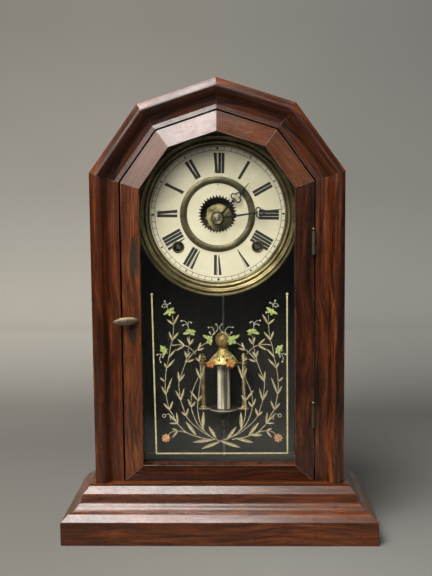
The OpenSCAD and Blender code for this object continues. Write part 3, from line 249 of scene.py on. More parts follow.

# Side and roof boards
# Pine boards veneered outside in rosewood, the grain running up the sides and along each roof facet.
# Inside they are coloured nearly black. They are mitred and glued where they meet.
facet_angles = [math.radians(a) for a in (144, 108, 72, 36)]
facet_names = ("low_left", "high_left", "high_right", "low_right")
side_veneer = wood("rosewood sides", 11, (0.016, 0.0042, 0.0012), (0.062, 0.0130, 0.0024),
    (0.120, 0.029, 0.006), figure=210.0, shine=0.48, even=0.03, gloss=0.02, mirror=0.25)
for name, side, out in zip(("side_board_left", "side_board_right"), solids_of("side_boards"), (-1, 1)):
    board(name, side, (0, 0, 1), (out, 0, 0), "case", "side_boards",
        (side_veneer, worn_edge, near_black_inside), inside=True)
for name, roof, a in zip(facet_names, solids_of("roof_boards"), facet_angles):
    board("roof_board_" + name, roof, (0, 1, 0), (math.cos(a), 0, math.sin(a)), "case", "roof_boards",
        (side_veneer, worn_edge, near_black_inside), inside=True)

# Back board and door stop
# One thin pine board nailed into the rabbet behind, bare outside and nearly black inside, its grain
# up and down. A thin near-black strip behind the foot of the door stops it.
board("back_board_pine", solids_of("back_board")[0], (0, 0, 1), (0, 1, 0), "case", "back_board",
    (bare_pine, pine_edge, near_black_inside), inside=True)
board("door_stop", solids_of("door_sill")[0], (1, 0, 0), (0, -1, 0), "case", "door_sill",
    (near_black_inside, pine_edge))

# Front stiles
# Two mouldings with a half-round crest and a cove, in strongly streaked rosewood veneer.
# They stand on the base, glued to the front edges of the side boards.
left_stile_veneer = wood("rosewood left stile", 21, (0.018, 0.0044, 0.0011), (0.074, 0.0140, 0.0020),
    (0.15, 0.034, 0.006), figure=210.0, even=0.02, gloss=0.1)
right_stile_veneer = wood("rosewood right stile", 34, (0.009, 0.0022, 0.0006), (0.100, 0.021, 0.0034),
    (0.19, 0.055, 0.013), figure=190.0, gloss=0.12)
for name, stile, veneer in zip(("front_stile_left", "front_stile_right"), solids_of("front_stiles"),
        (left_stile_veneer, right_stile_veneer)):
    board(name, stile, (0, 0, 1), (0, -1, 0), "case", "front_stiles", (veneer, worn_edge),
        edge=0.3 * mm)

# Front arch
# Four lengths of the same moulding, mitred into a ten-sided arch, the grain along each length.
# The mitres have opened a little and show as fine pale lines.
arch_veneer = wood("rosewood arch", 47, (0.008, 0.0020, 0.0006), (0.082, 0.0165, 0.0028),
    (0.16, 0.045, 0.012), figure=170.0, shine=0.33, gloss=0.08, mirror=0.4)
for name, length, a in zip(facet_names, solids_of("front_arch"), facet_angles):
    board("front_arch_" + name, length, (-math.sin(a), 0, math.cos(a)), (0, -1, 0), "case", "front_arch",
        (arch_veneer, worn_edge), edge=0.3 * mm)

# Door frame
# Two stiles, a bottom rail and four arch pieces, mitred and glued, veneered with plainer wood. The
# face slopes from the outer to the inner edge; the arch pieces are paler and finer in grain, and
# the left stile has two stains. The left stile is coloured much lighter than the right, partly its
# own tone and partly painted light from the left. The rail and arch pieces have pale edges, partly
# rubbed wear and partly a painted highlight. Dark beads behind hold the glass.
# Pale edges: partly rubbed wear and partly a painted highlight where the edges catch light
rubbed_and_lit_edge = wood("rubbed door edge with painted highlight", 15, (0.10, 0.055, 0.034), (0.19, 0.125, 0.085),
    (0.34, 0.27, 0.20), figure=300.0, shine=0.3, pores=0.3)
left_stains = [(60 * mm, -4 * mm, 21 * mm, 5.4 * mm), (-11 * mm, -1.2 * mm, 11 * mm, 4.4 * mm)]
# The left stile is coloured lighter than the right: partly its own tone, partly painted light from the
# left
door_left_veneer_partly_lit = wood("rosewood door stile left, partly painted light", 58, (0.018, 0.0048, 0.0014), (0.125, 0.032, 0.008),
    (0.21, 0.064, 0.020), figure=230.0, even=0.03, stains=left_stains)
door_right_veneer_partly_shaded = wood("rosewood door stile right, partly painted shade", 59, (0.007, 0.0018, 0.0006),
    (0.048, 0.0098, 0.0018), (0.105, 0.024, 0.005), figure=230.0, even=0.02)
door_rail_veneer = wood("rosewood door rail", 61, (0.009, 0.0022, 0.0007), (0.060, 0.0110, 0.0017),
    (0.12, 0.025, 0.004), figure=230.0, gloss=0.06, mirror=0.3)
door_arch_veneer = wood("light rosewood door arch", 66, (0.044, 0.0128, 0.004), (0.086, 0.027, 0.0098),
    (0.165, 0.060, 0.026), figure=420.0, shine=0.24, pores=0.3, even=0.05)
for name, stile, veneer in zip(("door_stile_left", "door_stile_right"), solids_of("door_stiles"),
        (door_left_veneer_partly_lit, door_right_veneer_partly_shaded)):
    board(name, stile, (0, 0, 1), (0, -1, 0), "door", "door_stiles",
        (veneer, worn_edge), edge=0.3 * mm)
board("door_rail", solids_of("door_bottom_rail")[0], (1, 0, 0), (0, -1, 0), "door", "door_bottom_rail",
    (door_rail_veneer, rubbed_and_lit_edge), edge=0.35 * mm)
for name, length, a in zip(facet_names, solids_of("door_arch"), facet_angles):
    board("door_arch_" + name, length, (-math.sin(a), 0, math.cos(a)), (0, -1, 0), "door", "door_arch",
        (door_arch_veneer, rubbed_and_lit_edge), edge=0.3 * mm)


def dress(node, finish_used):
    """A CAD node that stays, in its finish, shaded smooth but for its real edges."""
    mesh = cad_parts[node].data
    mesh.materials.clear()
    mesh.materials.append(finish_used)
    mesh.shade_smooth()
    mesh.set_sharp_from_angle(angle=math.radians(32))


dress("glass_beads", near_black_inside)


# Door glass
# A clear sheet, let into the rabbet behind the frame and held by beads.
# It is old glass, so it is faintly tinted and a little uneven.
def clear_glass(name, tint, wave=0.02):
    """Clear glass that lets lamps through to what is behind it."""
    material, add = finish(name)
    place = add("TexCoord").outputs["Object"]
    swell = add("TexNoise", Vector=place, Scale=12.0, Detail=1.0).outputs["Fac"]
    bump = add("Bump", Strength=wave, Distance=1.0 * mm, Height=swell).outputs[0]
    pane = add("BsdfPrincipled", Base_Color=(*tint, 1), Roughness=0.0, IOR=1.5, Normal=bump,
        Transmission_Weight=1.0).outputs[0]
    through = add("BsdfTransparent", Color=(*tint, 1)).outputs[0]
    lamp = add("LightPath").outputs["Is Shadow Ray"]
    add("OutputMaterial", Surface=add("MixShader", no_0=lamp, no_1=pane, no_2=through).outputs[0])
    return material


dress("door_glass", clear_glass("door glass", (0.97, 0.975, 0.95)))


# Tablet painting
# A wreath of leafy stems with flowers, and a three-sided border, painted on the back of the glass
# in gold, green and orange. Each stroke is a flat shape as thick as its coat of paint.
def laid(name, outlines, front, thick, body, finish_used):
    """Thin flat shapes in planes of even y. Each outline is a list of (x, z) in mm."""
    made = bmesh.new()
    for outline in outlines:
        near = [made.verts.new((x * mm, front * mm, z * mm)) for x, z in outline]
        far = [made.verts.new((x * mm, (front + thick) * mm, z * mm)) for x, z in outline]
        made.faces.new(near)
        made.faces.new(far[::-1])
        for i in range(len(outline)):
            j = (i + 1) % len(outline)
            made.faces.new((near[j], near[i], far[i], far[j]))
    bmesh.ops.recalc_face_normals(made, faces=made.faces)
    mesh = bpy.data.meshes.new(name)
    made.to_mesh(mesh)
    made.free()
    mesh.materials.append(finish_used)
    piece = bpy.data.objects.new(name, mesh)
    bpy.context.scene.collection.objects.link(piece)
    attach(piece, body)


def paint(name, low, high, scale=500.0, rough=0.5, metal=0.0):
    """Brushed or printed colour that goes from low to high in small patches."""
    material, add = finish(name)
    place = add("TexCoord").outputs["Object"]
    patch = add("TexNoise", Vector=place, Scale=scale, Detail=5.0, Roughness=0.6).outputs["Fac"]
    colour = shades(add, patch, (0.35, low), (0.65, high))
    dull = spans(add, patch, 0.3, 0.7, rough + 0.08, rough - 0.08)
    raised = add("Bump", Strength=0.2, Distance=0.02 * mm, Height=patch).outputs[0]
    shader = add("BsdfPrincipled", Base_Color=colour, Roughness=dull, Metallic=metal, Normal=raised)
    add("OutputMaterial", Surface=shader.outputs[0])
    return material


def smooth_path(points):
    """Points on a smooth curve through the given ones."""
    steps = 6
    ends = [points[0]] + list(points) + [points[-1]]
    found = []
    for a, b, c, d in zip(ends, ends[1:], ends[2:], ends[3:]):
        for i in range(steps):
            t = i / steps
            found.append(tuple(0.5 * (2 * q + (r - p) * t + (2 * p - 5 * q + 4 * r - s) * t * t
                + (3 * q - p - 3 * r + s) * t ** 3) for p, q, r, s in zip(a, b, c, d)))
    found.append(tuple(points[-1]))
    return found


def stroke(path, start, end):
    """The outline of a brush stroke along a path, from one width to another."""
    left, right = [], []
    for i, (x, z) in enumerate(path):
        before = path[max(i - 1, 0)]
        after = path[min(i + 1, len(path) - 1)]
        dx, dz = after[0] - before[0], after[1] - before[1]
        size = math.hypot(dx, dz) or 1.0
        half = 0.5 * (start + (end - start) * i / (len(path) - 1))
        left.append((x - dz / size * half, z + dx / size * half))
        right.append((x + dz / size * half, z - dx / size * half))
    return left + right[::-1]


def leaf(x0, z0, x1, z1, width, near=1.0, far=-1.0):
    """A lance leaf between two places; near and far say how much of it lies to each side of its rib."""
    steps = 8
    dx, dz = x1 - x0, z1 - z0
    size = math.hypot(dx, dz)
    edges = []
    for share in (near, far):
        edge = []
        for i in range(steps + 1):
            t = i / steps
            half = share * 0.5 * width * math.sin(math.pi * (0.02 + 0.95 * t)) ** 0.85
            edge.append((x0 + dx * t - dz / size * half, z0 + dz * t + dx / size * half))
        edges.append(edge)
    return edges[0] + edges[1][::-1]


def disc(x, z, r):
    """The outline of a small round dot."""
    sides = 10
    return [(x + r * math.cos(2 * math.pi * i / sides), z + r * math.sin(2 * math.pi * i / sides))
        for i in range(sides)]


def bloom(x, z, petals):
    """The one outline of petals that overlap round a middle: how far they reach each way."""
    rays = 72
    found = []
    for i in range(rays):
        c, s = math.cos(2 * math.pi * i / rays), math.sin(2 * math.pi * i / rays)
        far = 0.0
        for petal in petals:
            turned = [((u - x) * c + (v - z) * s, (v - z) * c - (u - x) * s) for u, v in petal]
            for (u0, v0), (u1, v1) in zip(turned, turned[1:] + turned[:1]):
                if (v0 < 0) != (v1 < 0):
                    far = max(far, u0 + (u1 - u0) * v0 / (v0 - v1))
        found.append((x + far * c, z + far * s))
    return found


glass_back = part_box("door_glass")[1].y / mm
coat_t = 0.03
gold_paint = paint("gold paint", (0.13, 0.105, 0.046), (0.325, 0.28, 0.158), scale=420.0, rough=0.45)
stem_paint = paint("stem paint", (0.16, 0.135, 0.080), (0.37, 0.325, 0.22), scale=500.0, rough=0.5)
cream_paint = paint("cream paint", (0.27, 0.23, 0.138), (0.50, 0.445, 0.305), scale=500.0)
border_paint = paint("border paint", (0.40, 0.36, 0.215), (0.63, 0.58, 0.38), scale=300.0)
green_paint = paint("green paint", (0.075, 0.105, 0.027), (0.30, 0.335, 0.115), scale=420.0)
orange_paint = paint("orange paint", (0.15, 0.065, 0.025), (0.42, 0.23, 0.11), scale=520.0)
red_paint = paint("red paint", (0.13, 0.032, 0.007), (0.36, 0.135, 0.036), scale=520.0)
white_paint = paint("white paint", (0.34, 0.32, 0.25), (0.66, 0.64, 0.54), scale=600.0)


# The right half is wider by so much once it is so far out, and less so high up
wreath_x = 0.3
wider_by, wider_from_x, narrower_above_z, narrower_by = 4.9, 11, 196.0, 0.07


def right_half(x, z):
    """The same place on the right half of the wreath, which spreads wider than the left one."""
    wider = wider_by - max(0.0, z - narrower_above_z) * narrower_by
    return 2 * wreath_x + wider * min(1.0, max(0.0, wreath_x - x) / wider_from_x) - x, z


def both_halves(places):
    """Places in x and z on the left half, and again on the right half."""
    return [places, [right_half(x, z) for x, z in places]]


border = [(-62.9, 229.8), (-60.8, 76.5), (65.7, 76.7), (65.4, 229.6)]
border_w, border_end_r, border_end_up = 1.35, 1.3, 1.5
laid("tablet_border", [stroke(border[0:2], border_w, border_w),
    stroke([(border[1][0] - border_w / 2, border[1][1]), (border[2][0] + border_w / 2, border[2][1])],
        border_w, border_w), stroke(border[2:4], border_w, border_w)],
    glass_back, coat_t, "door", border_paint)

stems = [
    [(-8.2, 90.4), (-18.3, 92.3), (-30.3, 96.6), (-36.3, 101.8), (-40.3, 106.4), (-44.2, 114.2),
     (-47.7, 120.3), (-50.8, 134.2), (-51.4, 145.9), (-50.0, 159.1), (-47.5, 170.3), (-45.8, 181.4),
     (-43.8, 187.5), (-42.6, 199.6), (-43.4, 211.1)],
    [(0.7, 88.5), (-8.2, 93.0), (-15.2, 97.3), (-22.2, 102.8), (-27.2, 107.4), (-31.7, 113.6),
     (-34.6, 122.3), (-36.5, 128.5), (-37.9, 138.7), (-38.0, 147.4), (-34.6, 157.1), (-32.0, 164.2),
     (-30.5, 170.2), (-28.4, 179.3), (-27.2, 191.4)],
    [(-31.3, 165.7), (-26.4, 172.2), (-21.4, 177.1), (-15.3, 182.3), (-9.8, 185.7)],
    [(-44.8, 182.2), (-38.3, 182.9), (-32.3, 182.0), (-27.3, 179.8), (-21.4, 173.7)],
    [(-8.2, 93.0), (-13.7, 98.1), (-20.2, 104.9), (-24.1, 113.1), (-26.5, 121.8), (-26.4, 132.6),
     (-23.8, 141.7), (-19.9, 150.4)],
    [(-13.7, 98.1), (-17.6, 105.4), (-19.6, 113.1), (-20.5, 123.3), (-19.4, 132.5), (-17.5, 148.9),
     (-17.5, 161.1), (-18.3, 169.2)],
    [(-30.3, 96.6), (-35.4, 98.2), (-39.9, 98.7), (-46.0, 97.7), (-49.6, 94.1)],
    [(-46.4, 109.4), (-47.8, 115.2), (-51.3, 114.6)],
]
# Each tuft is the foot of some leaves and their tips
tufts = [
    ((-42.5, 202.1), (-49.0, 207.2), (-37.6, 211.8)), ((-44.1, 187.0), (-47.1, 195.4), (-37.8, 195.0)),
    ((-32.3, 182.1), (-38.9, 188.2), (-40.6, 177.2)), ((-48.0, 170.3), (-40.8, 178.6)),
    ((-49.6, 160.2), (-52.1, 165.2), (-41.7, 169.0)), ((-51.8, 146.9), (-56.3, 151.0)),
    ((-50.8, 134.2), (-55.1, 142.7), (-44.8, 150.7)), ((-47.7, 119.3), (-53.2, 125.9), (-44.1, 128.2)),
    ((-39.5, 106.2), (-47.6, 114.5), (-40.9, 116.9), (-47.7, 106.4)),
    ((-39.9, 98.7), (-45.4, 101.0), (-45.1, 92.3)), ((-27.3, 182.9), (-29.5, 190.1), (-23.4, 188.7)),
    ((-30.5, 170.2), (-32.3, 177.0), (-26.8, 175.8)), ((-30.0, 166.0), (-23.3, 168.7)),
    ((-38.0, 146.9), (-38.9, 156.9), (-32.5, 154.5)), ((-36.5, 128.5), (-41.5, 138.4), (-33.2, 140.4)),
    ((-31.7, 113.3), (-36.1, 117.6), (-29.4, 121.0)), ((-26.5, 121.8), (-29.9, 130.2), (-22.7, 127.4)),
    ((-19.9, 127.9), (-27.8, 138.4), (-16.1, 133.8)), ((-17.4, 148.9), (-21.7, 160.3), (-13.0, 162.8)),
    ((-18.5, 166.6), (-21.7, 170.2), (-17.4, 174.2)), ((-19.6, 177.3), (-16.8, 185.0), (-13.6, 179.3)),
]
broad_leaves = [
    ((-22.1, 94.5), (-31.7, 107.7)), ((-4.2, 90.4), (-25.1, 87.6)), ((0.9, 88.3), (-16.9, 81.2)),
    ((-2.6, 91.4), (-9.9, 103.0)), ((-15.7, 100.2), (-14.8, 117.4)), ((29.3, 95.0), (41.5, 94.6)),
    ((15.3, 91.7), (32.5, 87.3)), ((6.7, 89.5), (16.5, 102.7)), ((0.8, 89.0), (20.1, 82.3)),
    ((28.2, 94.4), (38.0, 106.5)), ((21.3, 99.4), (21.1, 116.9)),
]
# Each leaf is gold, with a lighter coat over a little more than half of it
stem_w, stem_tip_w = 0.8, 0.5
tuft_leaf_w, tuft_light_w = 1.9, 1.65
broad_leaf_w, broad_light_w = 3.1, 2.7
stem_outlines = []
gold_outlines = []
cream_outlines = []
for points in stems:
    for half in both_halves(points):
        stem_outlines.append(stroke(smooth_path(half), stem_w, stem_tip_w))
for foot, *tips in tufts:
    for number, tip in enumerate(tips):
        for side, ((x0, z0), (x1, z1)) in zip((1, -1), both_halves([foot, tip])):
            lean = side if number else -side
            gold_outlines.append(leaf(x0, z0, x1, z1, tuft_leaf_w))
            cream_outlines.append(leaf(x0, z0, x1, z1, tuft_light_w, lean * 1.0, -lean * 0.1))
for (x0, z0), (x1, z1) in broad_leaves:
    side = 1 if x1 < 0 else -1
    gold_outlines.append(leaf(x0, z0, x1, z1, broad_leaf_w))
    cream_outlines.append(leaf(x0, z0, x1, z1, broad_light_w, side * 1.0, -side * 0.15))
laid("tablet_leaf_lights", cream_outlines, glass_back, coat_t, "door", cream_paint)
laid("tablet_stems", stem_outlines, glass_back + coat_t, coat_t, "door", stem_paint)
laid("tablet_leaves", gold_outlines, glass_back + 2 * coat_t, coat_t, "door", gold_paint)

# Each green flower is its middle and the tips of its petals from there
green_flowers = [
    ((-46.4, 215.2), (4.7, 3.2), (5.9, -1.6), (0.2, -4.6), (-5.7, -3.4), (-2.4, 1.0), (2.0, 2.0)),
    ((-27.7, 195.0), (-6.1, -1.9), (-3.0, 2.2), (0.4, 3.2), (4.0, 2.2), (6.4, 0.6), (5.2, -2.8),
        (-2.6, -1.6)),
    ((-9.0, 188.3), (-5.9, 4.0), (-1.0, 3.4), (3.4, 2.2), (3.6, -2.6), (2.0, -6.0), (-1.6, -4.8)),
    ((-52.4, 177.9), (-3.2, 4.6), (-3.6, -0.6), (0.6, -5.4), (3.8, -3.6), (3.8, 0.6), (1.4, 4.0)),
]
stalks = [
    [(-47.8, 218.2), (-49.0, 221.2), (-50.7, 224.7)], [(-48.6, 220.2), (-47.2, 222.2), (-45.6, 222.8)],
    [(-48.6, 219.6), (-49.8, 219.4), (-50.8, 218.9)], [(-49.4, 221.6), (-51.9, 222.1), (-53.1, 219.7)],
    [(-28.6, 198.3), (-29.1, 202.7), (-32.0, 205.6), (-35.0, 205.8)],
    [(-29.1, 202.7), (-27.5, 205.2), (-25.7, 204.1)], [(-29.0, 201.6), (-31.2, 202.6), (-33.5, 201.6)],
    [(-5.8, 191.8), (-4.0, 194.9), (-5.7, 199.4), (-9.2, 199.4)],
    [(-4.8, 192.3), (-1.2, 196.4), (-0.4, 199.9), (-2.0, 202.4)],
    [(-6.6, 191.8), (-7.4, 193.2), (-8.2, 194.6)],
    [(-52.5, 173.4), (-52.8, 172.2), (-53.2, 171.1)], [(-53.5, 173.4), (-56.5, 173.9), (-58.5, 173.2)],
    [(-55.0, 172.9), (-56.3, 169.3), (-55.4, 166.1)],
]
white_w = 0.5
green_petal_w, green_eye_r = 2.8, 1.7
curl_x, curl_z, curl_r = -52.8, 113.7, 1.6
green_outlines = []
white_outlines = []
for (x, z), *tips in green_flowers:
    petals = [leaf(x, z, x + u, z + v, green_petal_w) for u, v in tips] + [disc(x, z, green_eye_r)]
    green_outlines += both_halves(bloom(x, z, petals))
for points in stalks:
    for half in both_halves(points):
        white_outlines.append(stroke(smooth_path(half), white_w, 0.8 * white_w))
        white_outlines.append(disc(*half[-1], 1.6 * white_w))
curl_sides = 12
curl = [(curl_x + curl_r * math.cos(2 * math.pi * i / curl_sides),
    curl_z + curl_r * math.sin(2 * math.pi * i / curl_sides)) for i in range(curl_sides + 1)]
for half in both_halves(curl):
    white_outlines.append(stroke(half, white_w, white_w))
for x, z in (border[0], border[3]):
    white_outlines.append(disc(x, z + border_end_up, border_end_r))
laid("tablet_green_flowers", green_outlines, glass_back + 3 * coat_t, coat_t, "door", green_paint)
laid("tablet_white_touches", white_outlines, glass_back, coat_t, "door", white_paint)
orange_r, orange_petal_r, orange_eye_r = 3.1, 1.1, 2.2
orange_outlines = []
for x, z in sum(both_halves([(-51.4, 91.7)]), []):
    petals = [disc(x + orange_r * math.cos(i * math.pi / 4), z + orange_r * math.sin(i * math.pi / 4),
        orange_petal_r) for i in range(8)]
    orange_outlines.append(bloom(x, z, petals + [disc(x, z, orange_eye_r)]))
red_r, red_petal_w, red_eye_r, red_turn = 4.8, 1.25, 1.8, 0.57
red_outlines = []
for x, z in sum(both_halves([(-7.5, 164.1)]), []):
    petals = [leaf(x, z, x + (red_r + i % 2) * math.cos(i * red_turn),
        z + (red_r - i % 3 * 0.5) * math.sin(i * red_turn), red_petal_w) for i in range(11)]
    red_outlines.append(bloom(x, z, petals + [disc(x, z, red_eye_r)]))
laid("tablet_orange_flowers", orange_outlines, glass_back + coat_t, coat_t, "door", orange_paint)
laid("tablet_red_flowers", red_outlines, glass_back + coat_t, coat_t, "door", red_paint)


# Hinges
# Two small brass butt hinges, their leaves let into the door and the case, with a pin through the
# knuckles. The brass has gone dull and grey.
def brass(name, low, high, rough=0.3, scale=90.0, spots=0.0, clean=1.0):
    """Aged brass: colour that wanders between two tones, fine scratches and darker spots.
    Clean goes down from one as lacquer or dirt hides the metal."""
    material, add = finish(name)
    place = add("TexCoord").outputs["Object"]
    cloud = add("TexNoise", Vector=place, Scale=scale, Detail=5.0, Roughness=0.6).outputs["Fac"]
    colour = shades(add, cloud, (0.34, low), (0.66, high))
    fleck = spans(add, add("TexNoise", Vector=place, Scale=scale * 6, Detail=3.0).outputs["Fac"],
        0.58, 0.70, 0.0, spots)
    colour = blended(add, fleck, colour, tuple(v * 0.3 for v in low) + (1,))
    rub = add("Mapping", Vector=place, Scale=(1, 1, 0.06)).outputs[0]
    line = add("TexNoise", Vector=rub, Scale=2600.0, Detail=2.0).outputs["Fac"]
    dull = reckon(add, "ADD", spans(add, cloud, 0.3, 0.7, rough + 0.12, rough - 0.05),
        reckon(add, "MULTIPLY", fleck, 0.25))
    bump = add("Bump", Strength=0.25, Distance=0.01 * mm, Height=line).outputs[0]
    shader = add("BsdfPrincipled", Base_Color=colour, Metallic=clean, Roughness=dull, Normal=bump)
    add("OutputMaterial", Surface=shader.outputs[0])
    return material


hinge_brass = brass("dull hinge brass", (0.085, 0.067, 0.045), (0.21, 0.17, 0.115), rough=0.42,
    scale=200.0, spots=0.6)
for node in ("case_hinge_leaves", "hinge_pins", "door_hinge_leaves"):
    dress(node, hinge_brass)

# Latch
# An oval brass knob on a short spindle through the door stile, with a tongue behind it that turns
# in behind the case stile. The knob is worn brown.
knob_brass = brass("worn knob brass", (0.070, 0.050, 0.030), (0.18, 0.138, 0.090), rough=0.5,
    scale=240.0, spots=0.5, clean=0.75)
for node in ("latch_knob", "latch_spindle"):
    dress(node, knob_brass)

# Movement plates, posts and pillars
# Two rolled brass plates on four pillars, pinned in front, that carry every arbor. The front one
# is coloured nearly black. Steel screws through the back board hold the posts.
plate_brass = brass("plate brass", (0.10, 0.070, 0.024), (0.26, 0.185, 0.07), rough=0.4, scale=60.0,
    spots=0.5)
steel = brass("steel", (0.17, 0.16, 0.145), (0.38, 0.37, 0.35), rough=0.3, scale=150.0, spots=0.5)
for node in ("back_plate", "plate_pillars", "suspension_post"):
    dress(node, plate_brass)
# The front plate is coloured nearly black
dress("front_plate", brass("near-black plate brass", (0.012, 0.009, 0.005), (0.035, 0.026, 0.013),
    rough=0.5, scale=60.0, clean=0.7))
dress("movement_posts", steel)

# Wheels, arbors and springs
# Stamped brass wheels on steel arbors with lantern pinions, each riveted to its arbor. The hour
# wheel, which shows in the dial's opening, is coloured nearly black but for a bright patch. The
# patch has painted shade, darker towards the lower right where the hour hand's shadow falls, and a
# painted shadow rings the nut.
wheel_brass = brass("wheel brass", (0.30, 0.20, 0.07), (0.62, 0.45, 0.18), rough=0.28, scale=80.0,
    spots=0.3)
hour_wheel_patch_and_shade, add = finish("hour wheel brass, dark but for a patch, with painted shade")
place = add("TexCoord").outputs["Object"]
wheel_low, wheel_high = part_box("hour_wheel")
hub_z = (wheel_low.z + wheel_high.z) / 2
patch_x, patch_z = 1.9 * mm, hub_z + 1.5 * mm
from_patch = add("Mapping", Vector=place, Location=(-patch_x, 0, -patch_z), Scale=(1, 0, 1)).outputs[0]
cloud = add("TexNoise", Vector=place, Scale=160.0, Detail=4.0).outputs["Fac"]
away = reckon(add, "ADD", add("VectorMath", {"operation": "LENGTH"}, no_0=from_patch).outputs["Value"],
    spans(add, cloud, 0.3, 0.7, -2.5 * mm, 2.5 * mm))
bright = shades(add, cloud, (0.36, (0.10, 0.085, 0.036)), (0.64, (0.40, 0.35, 0.18)))
# Nearly black outside a bright patch round the middle
colour = blended(add, spans(add, away, 12.4 * mm, 13.8 * mm), bright, (0.010, 0.008, 0.005, 1))
# Painted shade: darker towards the lower right, where the hour hand's shadow falls
apart = add("SeparateXYZ", Vector=from_patch)
lean = reckon(add, "SUBTRACT", apart.outputs["X"], apart.outputs["Z"])
colour = blended(add, spans(add, lean, -6.0 * mm, 12.0 * mm, 0.0, 0.8), colour, (0.020, 0.018, 0.010, 1))
# Painted shadow: a dark ring round the nut
from_hub = add("Mapping", Vector=place, Location=(0, 0, -hub_z), Scale=(1, 0, 1)).outputs[0]
out = add("VectorMath", {"operation": "LENGTH"}, no_0=from_hub).outputs["Value"]
colour = blended(add, spans(add, out, 6.2 * mm, 7.2 * mm, 0.85, 0.0), colour, (0.010, 0.008, 0.005, 1))
shader = add("BsdfPrincipled", Base_Color=colour, Metallic=0.7, Roughness=0.45).outputs[0]
add("OutputMaterial", Surface=shader)
dress("hour_wheel", hour_wheel_patch_and_shade)
for node in ("minute_wheel", "centre_wheel", "time_great_wheel", "time_second_wheel",
        "time_third_wheel", "escape_wheel", "strike_great_wheel", "strike_second_wheel",
        "strike_third_wheel", "warning_wheel", "fly"):
    dress(node, wheel_brass)
for node in ("centre_arbor", "time_winding_arbor", "strike_winding_arbor", "mainsprings", "verge",
        "hammer"):
    dress(node, steel)

# Gong
# A coil of blued steel wire on an iron boss that is screwed to the back board.
# The hammer strikes its outer turn.
gong_blue = brass("gong steel", (0.035, 0.038, 0.045), (0.10, 0.10, 0.11), rough=0.34, scale=90.0)
gong_iron = brass("gong iron", (0.05, 0.045, 0.04), (0.13, 0.12, 0.11), rough=0.5, scale=120.0)
dress("gong_coil", gong_blue)
dress("gong_base", gong_iron)

# Dial sheet
# A zinc sheet painted cream, with a toothed opening in the middle and two winding holes.
# It stands on feet before the movement. The paint has yellowed a little.
dial_cream, add = finish("dial cream")
place = add("TexCoord").outputs["Object"]
cloud = add("TexNoise", Vector=place, Scale=22.0, Detail=5.0, Roughness=0.6).outputs["Fac"]
colour = shades(add, cloud, (0.32, (0.33, 0.305, 0.215)), (0.5, (0.38, 0.355, 0.265)), (0.7,
    (0.42, 0.395, 0.305)))
freckle = spans(add, add("TexNoise", Vector=place, Scale=420.0, Detail=4.0).outputs["Fac"], 0.68, 0.78,
    0.0, 0.35)
colour = blended(add, freckle, colour, (0.42, 0.34, 0.20, 1))
rough = spans(add, cloud, 0.3, 0.7, 0.62, 0.48)
bump = add("Bump", Strength=0.15, Distance=0.03 * mm, Height=cloud).outputs[0]
shader = add("BsdfPrincipled", Base_Color=colour, Roughness=rough, Normal=bump).outputs[0]
add("OutputMaterial", Surface=shader)
dress("dial_pan", dial_cream)
dress("dial_feet", plate_brass)

# Numerals and minute track
# Printed in black on the dial: radial Roman numerals with fat and thin strokes, and a track of two
# fine circles with a tick for each minute and a diamond for each fifth. A pin hole shows as a dot.
dial_low, dial_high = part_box("dial_pan")
dial_face = dial_low.y / mm
dial_x, dial_z = 0.4, (dial_low.z + dial_high.z) / 2 / mm
numeral_low, numeral_high = 38.9, 58.0
fat, fine = 2.75, 0.4
ink_t = 0.06
numeral_turn, twelve_shift = 1.1, 0.6
track_in, track_out = 60.4, 64.1
track_w, tick_w = 0.42, 0.46
pin_hole_z, pin_hole_r = 334.7, 0.6
ink = paint("dial ink", (0.002, 0.002, 0.002), (0.006, 0.005, 0.005), scale=700.0, rough=0.9)


def bar(u0, v0, u1, v1, w0, w1):
    """A straight stroke whose ends are cut level, from (u0, v0) to (u1, v1)."""
    return [(u0 - w0 / 2, v0), (u0 + w0 / 2, v0), (u1 + w1 / 2, v1), (u1 - w1 / 2, v1)]


def glyph(letter, u):
    """The strokes of one letter with its middle at u, from the inner to the outer radius."""
    low, high = numeral_low, numeral_high
    if letter == "I":
        found = [bar(u, low, u, high, fat, fat)]
        serifs = [(u, low, 1.35), (u, high, 1.35)]
    elif letter == "X":
        found = [bar(u + 0.95, low, u - 0.95, high, fat, fat),
            bar(u - 1.2, low, u + 1.2, high, fine, fine)]
        serifs = [(u + 0.95, low, 1.3), (u - 0.95, high, 1.3)]
    else:
        found = [bar(u + 0.3, low, u - 1.2, high, 0.7, fat),
            bar(u + 0.5, low, u + 1.6, high, fine, fine)]
        serifs = [(u - 1.2, high, 1.2), (u + 1.6, high, 0.6)]
    for at, v, half in serifs:
        found.append(bar(at, v - 0.09, at, v + 0.09, 2 * half, 2 * half))
    return found


letter_w = {"I": 3.15, "X": 4.1, "V": 3.9}
numerals = ("XII", "I", "II", "III", "IIII", "V", "VI", "VII", "VIII", "IX", "X", "XI")
ink_outlines = []


def round_dial(points, turn):
    """Points given across and out from the middle, turned clockwise round the dial."""
    s, c = math.sin(turn), math.cos(turn)
    return [(dial_x + u * c + v * s, dial_z - u * s + v * c) for u, v in points]


